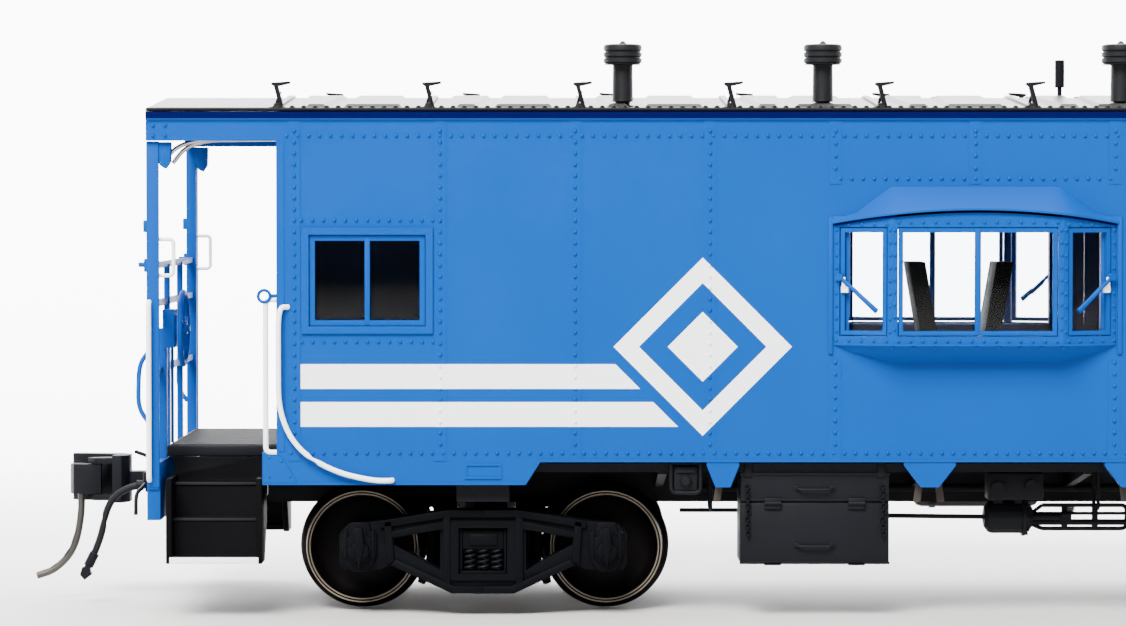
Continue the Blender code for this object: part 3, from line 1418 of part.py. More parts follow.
def trucks(frames):
    """Both trucks: side frames, bolster and two wheelsets, each under its own empty."""
    patterns = {
        "bolster": (truck_bolster(), "black_plastic"),
        "side_frame": (side_frame(), "black_plastic"),
        "axle": (axle(), "steel"),
        "wheel": (wheel(), "wheel_metal"),
        "kingpin": (kingpin(), "steel"),
    }
    for pattern, material_name in patterns.values():
        pattern.data.materials.append(material(material_name))
    mirror = (1.0, -1.0, 1.0)
    for half, frame in frames.items():
        centre = (-TRUCK_X, 0.0, 0.0)
        truck = empty(f"truck_{half}", centre, parent=frame)
        copy_of(patterns["kingpin"][0], f"kingpin_{half}", frame, centre)
        copy_of(patterns["bolster"][0], f"truck_{half}_bolster", truck)
        copy_of(patterns["side_frame"][0], f"truck_{half}_side_frame_left", truck)
        copy_of(patterns["side_frame"][0], f"truck_{half}_side_frame_right", truck, scale=mirror)
        for name, sign in (("outer", -1), ("inner", 1)):
            place = (sign * WHEELBASE / 2, 0.0, FLANGE_RADIUS)
            wheelset = empty(f"wheelset_{half}_{name}", place, parent=truck)
            copy_of(patterns["axle"][0], f"axle_{half}_{name}", wheelset)
            copy_of(patterns["wheel"][0], f"wheel_{half}_{name}_left", wheelset)
            copy_of(patterns["wheel"][0], f"wheel_{half}_{name}_right", wheelset, scale=mirror)
    for pattern, _material_name in patterns.values():
        bpy.data.objects.remove(pattern, do_unlink=True)


def smooth_round_edges():
    """Shades the shallow edges of every part smooth, and leaves its corners sharp."""
    for obj in PARTS.objects:
        if obj.type == "MESH":
            obj.data.shade_smooth()
            obj.data.set_sharp_from_angle(angle=SMOOTH_ANGLE)


def build():
    """Makes the whole car."""
    body_shell()
    roof()
    underframe()
    ballast_weight()
    interior()
    stacks()
    antenna()
    battery_box()
    brake_gear()
    frames = {half: empty(f"half_{half}", turn=turn) for half, turn in HALVES.items()}
    for half, frame in frames.items():
        bay_window(half, frame)
        bay_glass(half, frame)
        side_glass(half, frame)
        platform(half, frame)
        steps(half, frame)
        end_frame(half, frame)
        brake_wheel(half, frame)
        curved_handrails(half, frame)
        air_hose(half, frame)
        draft_box(half, frame)
        coupler_head(half, frame)
        coupler_knuckle(half, frame)
    trucks(frames)
    smooth_round_edges()


build()
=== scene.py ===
"""Detailed model of a 1:87 bay-window caboose, built round its CAD frame.

Shapes are drawn in millimetres in the car's own frame: X along the car, Y across it and Z up
from the surface that the wheels stand on. Each becomes metres when its piece is made. What
belongs to the near side and the A end is made again, turned half round, for the other half.
"""

from __future__ import annotations

import logging
import math
from collections.abc import Callable, Iterable, Sequence
from dataclasses import dataclass, field
from enum import Enum

import bmesh
import bpy
from mathutils import Matrix, Vector


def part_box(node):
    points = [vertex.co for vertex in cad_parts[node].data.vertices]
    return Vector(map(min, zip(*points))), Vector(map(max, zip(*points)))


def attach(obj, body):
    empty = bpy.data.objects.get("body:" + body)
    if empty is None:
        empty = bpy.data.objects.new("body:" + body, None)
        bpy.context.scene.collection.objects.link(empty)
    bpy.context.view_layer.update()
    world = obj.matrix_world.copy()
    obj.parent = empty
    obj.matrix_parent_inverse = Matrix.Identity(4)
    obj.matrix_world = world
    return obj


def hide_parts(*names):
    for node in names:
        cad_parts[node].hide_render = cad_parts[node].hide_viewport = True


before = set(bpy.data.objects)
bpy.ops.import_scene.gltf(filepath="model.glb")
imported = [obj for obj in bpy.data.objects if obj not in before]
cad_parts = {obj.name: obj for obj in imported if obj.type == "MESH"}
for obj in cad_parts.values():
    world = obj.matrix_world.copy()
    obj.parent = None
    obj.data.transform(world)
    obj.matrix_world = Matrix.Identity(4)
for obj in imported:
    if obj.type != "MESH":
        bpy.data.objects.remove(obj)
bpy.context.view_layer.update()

LOG = logging.getLogger("caboose")
MM = 0.001
MERGE = 1e-4  # in mm
BEND_STEPS = 6

Point = Sequence[float]


# Units, colours and nodes --------------------------------------------------------------


def linear(code: str) -> tuple[float, float, float, float]:
    """Turns an sRGB hex colour into linear values.

    Args:
        code: Six hex digits after a number sign.

    Returns:
        Red, green, blue and a full alpha.
    """
    values = []
    for start in (1, 3, 5):
        level = int(code[start : start + 2], 16) / 255
        values.append(level / 12.92 if level <= 0.04045 else ((level + 0.055) / 1.055) ** 2.4)
    return (values[0], values[1], values[2], 1.0)


def add_node(
    tree: bpy.types.NodeTree, kind: str, inputs: dict[str | int, object] | None = None, **settings: object
) -> bpy.types.Node:
    """Adds one node with its settings, its values and its links.

    Args:
        tree: The tree that gets the node.
        kind: The node's type.
        inputs: A value or an output socket for each named or numbered input.
        **settings: The node's own properties.

    Returns:
        The new node.
    """
    made = tree.nodes.new(kind)
    for name, value in settings.items():
        setattr(made, name, value)
    for name, value in (inputs or {}).items():
        socket = made.inputs[name]
        if isinstance(value, bpy.types.NodeSocket):
            tree.links.new(value, socket)
        else:
            socket.default_value = value
    return made


def box_mm(node: str) -> tuple[Vector, Vector]:
    """Lowest and highest corners of a CAD node, in millimetres."""
    low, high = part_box(node)
    return low / MM, high / MM


def dress(node: str, finish: Finish) -> None:
    """Gives a CAD node that is kept as it is its finish."""
    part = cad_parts[node]
    part.data.materials.clear()
    part.data.materials.append(finish.material())


# Finishes --------------------------------------------------------------------------------


@dataclass(frozen=True)
class Finish:
    """A moulded or painted surface, with a fine grain in its gloss, colour and relief.

    Grain sizes are in millimetres. Paint on a model this small shows a soft, even sheen with
    a faint orange peel; bare moulded plastic shows a slightly coarser, drier grain.
    """

    name: str
    slot: str
    colour: str
    tint: str
    roughness: float
    roughness_swing: float = 0.06
    grain: float = 0.25
    patch: float = 9.0
    patch_detail: float = 3.0
    relief: float = 0.004
    metallic: float = 0.0
    ior: float = 1.5
    specular: float = 0.5

    def colour_socket(self, tree: bpy.types.NodeTree, place: bpy.types.NodeSocket) -> bpy.types.NodeSocket:
        """The base colour: the main colour, drifting to the tint in soft patches."""
        patches = {"Vector": place, "Scale": 1 / (self.patch * MM), "Detail": self.patch_detail}
        drift = add_node(tree, "ShaderNodeTexNoise", patches).outputs["Fac"]
        colours = {0: drift, 6: linear(self.colour), 7: linear(self.tint)}
        return add_node(tree, "ShaderNodeMix", colours, data_type="RGBA").outputs[2]

    def shader_inputs(self, tree: bpy.types.NodeTree, place: bpy.types.NodeSocket) -> dict[str, object]:
        """Values and links for the shader's own sockets."""
        noise = {"Vector": place, "Scale": 1 / (self.grain * MM), "Detail": 4.0}
        grain = add_node(tree, "ShaderNodeTexNoise", noise).outputs["Fac"]
        swing = {
            "Value": grain, "To Min": self.roughness - self.roughness_swing,
            "To Max": self.roughness + self.roughness_swing
        }
        gloss = add_node(tree, "ShaderNodeMapRange", swing)
        relief = {"Height": grain, "Strength": 0.35, "Distance": self.relief * MM}
        bump = add_node(tree, "ShaderNodeBump", relief)
        return {
            "Base Color": self.colour_socket(tree, place), "Roughness": gloss.outputs["Result"],
            "Normal": bump.outputs["Normal"], "Metallic": self.metallic, "IOR": self.ior,
            "Specular IOR Level": self.specular
        }

    def material(self) -> bpy.types.Material:
        """The material for this finish, made when it is first asked for."""
        made = bpy.data.materials.get(self.name)
        if made:
            return made
        made = bpy.data.materials.new(self.name)
        made.use_nodes = True
        tree = made.node_tree
        tree.nodes.clear()
        place = add_node(tree, "ShaderNodeTexCoord").outputs["Object"]
        shader = add_node(tree, "ShaderNodeBsdfPrincipled", self.shader_inputs(tree, place))
        add_node(tree, "ShaderNodeOutputMaterial", {"Surface": shader.outputs["BSDF"]})
        return made


@dataclass(frozen=True)
class StripedPaint(Finish):
    """Blue enamel with printed white stripes that stop short of a nested diamond.

    Sizes are in millimetres. The print is on the outer faces of both sides, at the left end
    of each, and lies over the rivets as real pad printing does.
    """

    white: str = "#f4f7f9"
    side_plane: float = 16.3
    stripe_start: float = -56.0
    stripe_levels: tuple[tuple[float, float], ...] = ((16.05, 18.1), (19.2, 21.25))
    mark_x: float = -22.6
    mark_z: float = 22.7
    mark_reach: float = 7.4
    mark_ring: float = 5.3
    mark_core: float = 2.9
    mark_gap: float = 1.3

    def print_steps(self) -> list[tuple[object, ...]]:
        """The arithmetic of the print, as a result's name, an operation and its operands."""
        steps = [
            ("x mm", "MULTIPLY", "x", 1 / MM), ("y mm", "MULTIPLY", "y", 1 / MM),
            ("z mm", "MULTIPLY", "z", 1 / MM), ("facing", "SIGN", "y mm"),
            ("turned", "MULTIPLY", "x mm", "facing"), ("along", "MULTIPLY", "turned", -1.0),
            ("beside", "ABSOLUTE", "y mm"), ("outside", "GREATER_THAN", "beside", self.side_plane),
            ("offset", "SUBTRACT", "along", self.mark_x), ("across", "ABSOLUTE", "offset"),
            ("above", "SUBTRACT", "z mm", self.mark_z), ("rise", "ABSOLUTE", "above"),
            ("reach", "ADD", "across", "rise"), ("past ring", "GREATER_THAN", "reach", self.mark_ring),
            ("in mark", "LESS_THAN", "reach", self.mark_reach),
            ("ring", "MULTIPLY", "past ring", "in mark"), ("core", "LESS_THAN", "reach", self.mark_core),
            ("clear", "GREATER_THAN", "reach", self.mark_reach + self.mark_gap),
            ("past start", "GREATER_THAN", "along", self.stripe_start),
            ("before mark", "LESS_THAN", "along", self.mark_x),
            ("length", "MULTIPLY", "past start", "before mark")
        ]
        for row, (low, high) in zip(("lower", "upper"), self.stripe_levels):
            steps.append((f"{row} foot", "GREATER_THAN", "z mm", low))
            steps.append((f"{row} head", "LESS_THAN", "z mm", high))
            steps.append((row, "MULTIPLY", f"{row} foot", f"{row} head"))
        return steps + [
            ("rows", "ADD", "lower", "upper"), ("stripes", "MULTIPLY", "rows", "length"),
            ("cut stripes", "MULTIPLY", "stripes", "clear"), ("mark", "ADD", "ring", "core"),
            ("whites", "ADD", "mark", "cut stripes"), ("print", "MULTIPLY", "whites", "outside")
        ]

    def colour_socket(self, tree: bpy.types.NodeTree, place: bpy.types.NodeSocket) -> bpy.types.NodeSocket:
        """The blue, with white where the stripes or the diamond are printed."""
        base = super().colour_socket(tree, place)
        parts = add_node(tree, "ShaderNodeSeparateXYZ", {0: place}).outputs
        values = dict(zip("xyz", parts))
        for name, operation, *operands in self.print_steps():
            inputs = {index: values.get(given, given) for index, given in enumerate(operands)}
            values[name] = add_node(tree, "ShaderNodeMath", inputs, operation=operation).outputs[0]
        colours = {0: values["print"], 6: base, 7: linear(self.white)}
        return add_node(tree, "ShaderNodeMix", colours, data_type="RGBA").outputs[2]


@dataclass(frozen=True)
class ClearPlastic(Finish):
    """Clear polystyrene glazing: thin, faintly cool, with a slight ripple in its polish."""

    def shader_inputs(self, tree: bpy.types.NodeTree, place: bpy.types.NodeSocket) -> dict[str, object]:
        """Values and links for the shader's own sockets."""
        noise = {"Vector": place, "Scale": 1 / (self.patch * MM)}
        ripple = add_node(tree, "ShaderNodeTexNoise", noise).outputs["Fac"]
        relief = {"Height": ripple, "Strength": 0.1, "Distance": self.relief * MM}
        bump = add_node(tree, "ShaderNodeBump", relief)
        return {
            "Base Color": linear(self.colour), "Roughness": self.roughness,
            "Normal": bump.outputs["Normal"], "Transmission Weight": 1.0, "IOR": self.ior
        }


@dataclass(frozen=True)
class StudioPaper(Finish):
    """Seamless studio paper with painted light: warm grey underfoot, paling towards white where it rises,
    where it also glows as though lit from behind.
    """

    back_light: float = 5.5

    def shader_inputs(self, tree: bpy.types.NodeTree, place: bpy.types.NodeSocket) -> dict[str, object]:
        """Values and links for the shader's own sockets."""
        along = add_node(tree, "ShaderNodeSeparateXYZ", {0: place}).outputs["Y"]
        # Painted light: the paper's colour pales from grey to white as it rises.
        rise = {"Value": along, "From Min": -0.05, "From Max": 0.2}
        share = add_node(tree, "ShaderNodeMapRange", rise, interpolation_type="SMOOTHSTEP")
        colours = {0: share.outputs["Result"], 6: linear(self.colour), 7: linear(self.tint)}
        mix = add_node(tree, "ShaderNodeMix", colours, data_type="RGBA")
        # Painted backlight: where the paper rises it emits light, as though lit from behind.
        lit = {"Value": along, "From Min": 0.06, "From Max": 0.34, "To Max": self.back_light}
        glow = add_node(tree, "ShaderNodeMapRange", lit, interpolation_type="SMOOTHSTEP")
        return {
            "Base Color": mix.outputs[2], "Roughness": self.roughness, "Emission Color": linear("#fdfdff"),
            "Emission Strength": glow.outputs["Result"]
        }


# Satin blue enamel, sprayed thin: a deep, even blue that keeps the rivet heads crisp.
BLUE = {"slot": "blue_plastic", "colour": "#003c86", "tint": "#00408d", "roughness": 0.5}
BODY_BLUE = StripedPaint("blue_enamel_printed", **BLUE, specular=0.05)
TRIM_BLUE = Finish("blue_enamel", **BLUE, specular=0.05)
# The same enamel darkened to a near-navy as painted shade, for surfaces that face down or sit under an
# overhang, such as the gutter's cove.
SHADE_BLUE = Finish("blue_enamel_painted_shade", "blue_plastic", "#020439", "#030642", 0.5, specular=0.03)
# Injection-moulded black styrene: dry, fine-grained, with soft grey edges where light rakes it.
BLACK = Finish("black_moulded_plastic", "black_plastic", "#0e0f12", "#131418", 0.5, specular=0.07)
# Slippery black acetal of the trucks: darker than the styrene, with a low sheen.
TRUCK_BLACK = Finish("black_truck_plastic", "black_plastic", "#050608", "#090a0d", 0.5, specular=0.035)
# The steps' gloss-free black, which swallows nearly all light.
STEP_BLACK = Finish("black_step_plastic", "black_plastic", "#040406", "#08080a", 0.5, specular=0.03)
# The stacks' black, dusted a little greyer than the underbody.
STACK_BLACK = Finish("black_stack_plastic", "black_plastic", "#121315", "#18191b", 0.5, specular=0.1)
# Gloss black roof enamel: at a low angle it mirrors the pale room as a warm grey.
ROOF_PAINT = Finish("black_roof_enamel", "roof_black", "#1a1918", "#232120", 0.36, relief=0.003, ior=1.32)
# White enamel on thin wire: clean and slightly cool.
WHITE = Finish("white_enamel", "white_wire", "#fafcfe", "#f2f5f8", 0.45, patch=4.0)
# Oxide drifts between two browns in narrow bands on a lathe cut.
LATHE_CUT = {"patch": 0.12, "patch_detail": 2.0}
# Chemically blackened wheel metal: brown-black, with a soft glint where it is turned.
WHEEL = Finish("darkened_wheel_metal", "wheel_metal", "#191614", "#100e0d", 0.42, metallic=1.0, **LATHE_CUT)
# The rim's face, turned back to bronze-grey metal under a thin oxide, so it stays softly bright.
WHEEL_RING = Finish("turned_rim_face", "wheel_metal", "#8d8374", "#5f574c", 0.42, metallic=0.4, **LATHE_CUT)
# Matt black paint inside the wheel, almost without sheen.
WHEEL_FACE = Finish("black_wheel_paint", "wheel_metal", "#030202", "#060404", 0.5, specular=0.05)
# Plated steel: bright, with a little grain.
STEEL = Finish("bright_steel", "steel", "#a9a7a3", "#8f8d8a", 0.34, metallic=1.0)
# Dull grey steel wire, left bare.
PIN_STEEL = Finish("grey_rolled_steel", "steel", "#56534f", "#45433f", 0.5, metallic=1.0)
# Brown-grey primer on the floor stays, flat and dusty.
STAY_PRIMER = Finish("brown_grey_primer", "steel", "#3b3632", "#2d2926", 0.7, specular=0.1)
# Soft black vinyl tube with a faint bloom.
RUBBER = Finish("soft_black_hose", "hose_rubber", "#101113", "#161719", 0.6, grain=0.2, specular=0.1)
# Dark grey styrene inside the car, seen through the windows.
INTERIOR = Finish("dark_interior_plastic", "interior_plastic", "#030405", "#060709", 0.6, specular=0.05)
# Clear styrene glazing: water-clear, with a polished face.
GLASS = ClearPlastic("clear_styrene", "clear_plastic", "#f4f8fa", "#f4f8fa", 0.02, ior=1.2)
# The door's pane, painted near-black as shade: it stands in for the dark, unlit room behind the glass, with a
# smooth mirror face.
SHADED_PANE = Finish("door_pane_painted_shade", "clear_plastic", "#05070b", "#070a10", 0.1, relief=0.0)
# Matt studio paper under and behind the car, with painted light where it rises: paler and glowing.
PAPER = StudioPaper("studio_paper", "none", "#b6b3b0", "#fbfbfb", 0.8)


# Shapes ------------------------------------------------------------------------------------


class Half(Enum):
    """The two halves of the car, alike when one is turned half round."""

    A = "a"
    B = "b"

    @property
    def turn(self) -> Matrix:
        """The turn that carries the A half's shapes to this half."""
        return Matrix.Rotation(0.0 if self is Half.A else math.pi, 4, "Z")

    @property
    def side(self) -> str:
        """The side whose window and print belong to this half."""
        return "near" if self is Half.A else "far"


class Hand(Enum):
    """The near and far corners of one end, which mirror each other."""

    LEFT = "left"
    RIGHT = "right"

    @property
    def flip(self) -> Matrix:
        """The mirror that carries the left corner's shapes to this corner."""
        return Matrix.Diagonal((1.0, 1.0 if self is Hand.LEFT else -1.0, 1.0, 1.0))


def rounded(points: Iterable[Point], radius: float) -> list[Vector]:
    """Rounds the corners of a path.

    Args:
        points: The path's own points.
        radius: How far along each run a bend starts.

    Returns:
        The path's points, with several round each corner.
    """
    route = [Vector(point) for point in points]
    path = [route[0]]
    for before, corner, after in zip(route, route[1:], route[2:]):
        start = corner + (before - corner).normalized() * min(radius, (before - corner).length / 2)
        end = corner + (after - corner).normalized() * min(radius, (after - corner).length / 2)
        for step in range(BEND_STEPS + 1):
            share = step / BEND_STEPS
            path.append(start.lerp(corner, share).lerp(corner.lerp(end, share), share))
    path.append(route[-1])
    return path


def rectangle(left: float, right: float, low: float, high: float) -> list[tuple[float, float]]:
    """The corners of an upright rectangle."""
    return [(left, low), (right, low), (right, high), (left, high)]


def evaluated_mesh(obj: bpy.types.Object) -> bpy.types.Mesh:
    """A plain mesh of an object as its modifiers leave it."""
    graph = bpy.context.evaluated_depsgraph_get()
    return bpy.data.meshes.new_from_object(obj.evaluated_get(graph))


class Shape:
    """A mesh in the making, drawn in millimetres in the car's own frame."""

    def __init__(self) -> None:
        """Starts with nothing."""
        self.mesh = bmesh.new()

    def _take(self, other: bmesh.types.BMesh) -> Shape:
        """Adds another mesh to this one and frees it."""
        holder = bpy.data.meshes.new("holder")
        other.to_mesh(holder)
        other.free()
        self.mesh.from_mesh(holder)
        bpy.data.meshes.remove(holder)
        return self

    def block(self, low: Point, high: Point, bevel: float = 0.0) -> Shape:
        """Adds a box between two corners, with its edges rounded by bevel."""
        first, second = Vector(low), Vector(high)
        made = bmesh.new()
        bmesh.ops.create_cube(made, size=1.0)
        bmesh.ops.scale(made, vec=second - first, verts=made.verts)
        bmesh.ops.translate(made, vec=(first + second) / 2, verts=made.verts)
        if bevel:
            bmesh.ops.bevel(made, geom=made.edges[:], offset=bevel, segments=2, profile=0.5, affect="EDGES")
        return self._take(made)

    def bar(
        self, start: Point, end: Point, radius: float, tip: float | None = None, sides: int = 20
    ) -> Shape:
        """Adds a round bar or cone from one point to another."""
        first, second = Vector(start), Vector(end)
        turn = (second - first).to_track_quat("Z", "Y").to_matrix().to_4x4()
        made = bmesh.new()
        bmesh.ops.create_cone(
            made, cap_ends=True, segments=sides, radius1=radius, radius2=radius if tip is None else tip,
            depth=(second - first).length, matrix=Matrix.Translation((first + second) / 2) @ turn
        )
        return self._take(made)

    def hull(self, points: Iterable[Point]) -> Shape:
        """Adds the convex solid round some points."""
        made = bmesh.new()
        for point in points:
            made.verts.new(point)
        done = bmesh.ops.convex_hull(made, input=made.verts)
        spare = [item for item in done["geom_interior"] if isinstance(item, bmesh.types.BMVert)]
        bmesh.ops.delete(made, geom=spare, context="VERTS")
        return self._take(made)

    def slab(
        self, outline: Iterable[Point], low: float, high: float, axis: str = "Z", bevel: float = 0.0
    ) -> Shape:
        """Adds an outline extruded from low to high along an axis.

        Args:
            outline: (x, y) points for Z, (x, z) points for Y, (y, z) points for X.
            low: Where the slab starts.
            high: Where the slab ends.
            axis: The axis of the extrusion.
            bevel: Rounding of the edges at both faces.

        Returns:
            This shape.
        """
        turns = {
            "X": Matrix(((0, 0, 1), (1, 0, 0), (0, 1, 0))).to_4x4(),
            "Y": Matrix(((1, 0, 0), (0, 0, -1), (0, 1, 0))).to_4x4(),
            "Z": Matrix.Identity(4),
        }
        base = -high if axis == "Y" else low
        made = bmesh.new()
        face = made.faces.new([made.verts.new((across, up, base)) for across, up in outline])
        grown = bmesh.ops.extrude_face_region(made, geom=[face])
        moved = [item for item in grown["geom"] if isinstance(item, bmesh.types.BMVert)]
        bmesh.ops.translate(made, vec=(0.0, 0.0, high - low), verts=moved)
        if bevel:
            bmesh.ops.bevel(made, geom=made.edges[:], offset=bevel, segments=2, profile=0.5, affect="EDGES")
        bmesh.ops.transform(made, matrix=turns[axis], verts=made.verts)
        return self._take(made)

    def ring_frame(self, outer: Sequence[float], inner: Sequence[float], low: float, high: float) -> Shape:
        """Adds an upright rectangular frame that faces along Y.

        Args:
            outer: Left, right, bottom and top of the outside.
            inner: The same for the opening.
            low: Lowest Y.
            high: Highest Y.

        Returns:
            This shape.
        """
        outside, inside = rectangle(*outer), rectangle(*inner)
        for index in range(4):
            after = (index + 1) % 4
            corner = [outside[index], outside[after], inside[after], inside[index]]
            self.slab(corner, low, high, "Y")
        bmesh.ops.remove_doubles(self.mesh, verts=self.mesh.verts, dist=MERGE)
        return self

    def tube(self, path: Iterable[Point], radius: float, level: int = 4) -> Shape:
        """Adds a round wire along a path, with closed ends."""
        curve = bpy.data.curves.new("wire", "CURVE")
        curve.dimensions = "3D"
        curve.bevel_depth = radius
        curve.bevel_resolution = level
        curve.use_fill_caps = True
        route = list(path)
        spline = curve.splines.new("POLY")
        spline.points.add(len(route) - 1)
        for point, place in zip(spline.points, route):
            point.co = (*place, 1.0)
        obj = bpy.data.objects.new("wire", curve)
        bpy.context.scene.collection.objects.link(obj)
        plain = evaluated_mesh(obj)
        bpy.data.objects.remove(obj, do_unlink=True)
        made = bmesh.new()
        made.from_mesh(plain)
        bpy.data.meshes.remove(plain)
        bmesh.ops.remove_doubles(made, verts=made.verts, dist=MERGE)
        return self._take(made)

    def lathe(self, profile: Iterable[Point], centre: Point, axis: str, sides: int = 40) -> Shape:
        """Adds a profile of (radius, height) points turned about an axis through a centre."""
        made = bmesh.new()
        corners = [made.verts.new((radius, 0.0, height)) for radius, height in profile]
        edges = [made.edges.new(pair) for pair in zip(corners, corners[1:])]
        bmesh.ops.spin(
            made, geom=corners + edges, axis=(0.0, 0.0, 1.0), cent=(0.0, 0.0, 0.0), angle=2 * math.pi,
            steps=sides, use_merge=True
        )
        bmesh.ops.remove_doubles(made, verts=made.verts, dist=MERGE)
        turns = {
            "X": Matrix.Rotation(math.pi / 2, 4, "Y"), "Y": Matrix.Rotation(-math.pi / 2, 4, "X"),
            "Z": Matrix.Identity(4)
        }
        place = Matrix.Translation(Vector(centre)) @ turns[axis]
        bmesh.ops.transform(made, matrix=place, verts=made.verts)
        return self._take(made)

    def sheet(self, rows: Sequence[Sequence[Point]], thickness: float) -> Shape:
        """Adds a sheet through rows of points, thickened downwards."""
        made = bmesh.new()
        layers = []
        for drop in (0.0, thickness):
            layers.append([[made.verts.new(Vector(p) - Vector((0, 0, drop))) for p in row] for row in rows])
        last_row, last = len(rows) - 1, len(rows[0]) - 1
        for layer in layers:
            for near, far in zip(layer, layer[1:]):
                for index in range(last):
                    made.faces.new((near[index], near[index + 1], far[index + 1], far[index]))
        top, under = layers
        for row in (0, last_row):
            for index in range(last):
                made.faces.new(
                    (top[row][index], top[row][index + 1], under[row][index + 1], under[row][index])
                )
        for index in (0, last):
            for row in range(last_row):
                made.faces.new(
                    (top[row][index], top[row + 1][index], under[row + 1][index], under[row][index])
                )
        return self._take(made)

    def moved(self, matrix: Matrix) -> Shape:
        """A copy of this shape, carried by a matrix."""
        twin = Shape()
        twin.mesh = self.mesh.copy()
        bmesh.ops.transform(twin.mesh, matrix=matrix, verts=twin.mesh.verts)
        return twin

    def add(self, other: Shape) -> Shape:
        """Takes in another shape."""
        return self._take(other.mesh)

    def piece(
        self, name: str, finish: Finish, body: str = "root", stands_for: Sequence[str] = (),
        crease: float = 35.0
    ) -> bpy.types.Object:
        """Makes the finished object, in metres, riding on a body of the frame.

        Args:
            name: The piece's name.
            finish: What it is made of.
            body: The CAD body that it moves with.
            stands_for: CAD nodes that it takes the place of.
            crease: Edges sharper than this, in degrees, stay sharp.

        Returns:
            The new object.
        """
        bmesh.ops.scale(self.mesh, vec=(MM, MM, MM), verts=self.mesh.verts)
        bmesh.ops.recalc_face_normals(self.mesh, faces=self.mesh.faces)
        data = bpy.data.meshes.new(name)
        self.mesh.to_mesh(data)
        self.mesh.free()
        return settle(bpy.data.objects.new(name, data), finish, body, stands_for, crease)


def settle(
    obj: bpy.types.Object, finish: Finish, body: str, stands_for: Sequence[str] = (), crease: float = 35.0
) -> bpy.types.Object:
    """Shades an object, dresses it and ties it to the frame.

    Args:
        obj: The new object.
        finish: What it is made of.
        body: The CAD body that it moves with.
        stands_for: CAD nodes that it takes the place of.
        crease: Edges sharper than this, in degrees, stay sharp.

    Returns:
        The same object.
    """
    if obj.name not in bpy.context.scene.collection.objects:
        bpy.context.scene.collection.objects.link(obj)
    obj.data.shade_smooth()
    obj.data.set_sharp_from_angle(angle=math.radians(crease))
    obj.data.materials.clear()
    obj.data.materials.append(finish.material())
    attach(obj, body)
    if stands_for:
        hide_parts(*stands_for)
    LOG.info("%s: %d faces on %s", obj.name, len(obj.data.polygons), body)
    return obj


def softened(node: str, name: str, finish: Finish, body: str, bevel: float) -> bpy.types.Object:
    """A CAD node's own shape with small rounded edges, in place of the node.

    Args:
        node: The CAD node.
        name: The new piece's name.
        finish: What it is made of.
        body: The CAD body that it moves with.
        bevel: Rounding of the edges, in millimetres.

    Returns:
        The new piece.
    """
    made = bmesh.new()
    made.from_mesh(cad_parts[node].data)
    bmesh.ops.remove_doubles(made, verts=made.verts, dist=MERGE * MM)
    bmesh.ops.dissolve_limit(made, angle_limit=math.radians(1.0), verts=made.verts, edges=made.edges)
    data = bpy.data.meshes.new(name)
    made.to_mesh(data)
    made.free()
    obj = bpy.data.objects.new(name, data)
    bpy.context.scene.collection.objects.link(obj)
    modifier = obj.modifiers.new("soft_edges", "BEVEL")
    modifier.width = bevel * MM
    modifier.segments = 2
    modifier.limit_method = "ANGLE"
    modifier.angle_limit = math.radians(40)
    modifier.harden_normals = False
    plain = evaluated_mesh(obj)
    obj.modifiers.clear()
    obj.data = plain
    return settle(obj, finish, body, (node,), crease=50.0)


def for_halves(draw: Callable[[], Shape], name: str, finish: Finish, **options: object) -> None:
    """Makes a piece for each half of the car from the A half's shape.

    Args:
        draw: Draws the shape for the A half.
        name: The pieces' name, which gets the half's letter.
        finish: What they are made of.
        **options: body and stands_for patterns that hold the words HALF or SIDE.
    """
    for half in Half:

        def fill(pattern: str, half: Half = half) -> str:
            """Writes the half's letter or side into a pattern."""
            return pattern.replace("HALF", half.value).replace("SIDE", half.side)

        body = fill(str(options.get("body", "root")))
        stands_for = [fill(node) for node in options.get("stands_for", ())]
        shape = draw().moved(half.turn)
        shape.piece(f"{name}_{half.value}", finish, body, stands_for)


def for_corners(draw: Callable[[], Shape], name: str, finish: Finish, **options: object) -> None:
    """Makes a piece for each of the four corners from the A end's near corner.

    Args:
        draw: Draws the shape for the near corner of the A end.
        name: The pieces' name, which gets the half's letter and the hand.
        finish: What they are made of.
        **options: body and stands_for patterns that hold the words HALF or HAND.
    """
    for half in Half:
        for hand in Hand:

            def fill(pattern: str, half: Half = half, hand: Hand = hand) -> str:
                """Writes the half's letter and the hand into a pattern."""
                return pattern.replace("HALF", half.value).replace("HAND", hand.value)

            body = fill(str(options.get("body", "root")))
            stands_for = [fill(node) for node in options.get("stands_for", ())]
            shape = draw().moved(half.turn @ hand.flip)
            shape.piece(f"{name}_{half.value}_{hand.value}", finish, body, stands_for)


# Repeated details, made by Geometry Nodes --------------------------------------------------


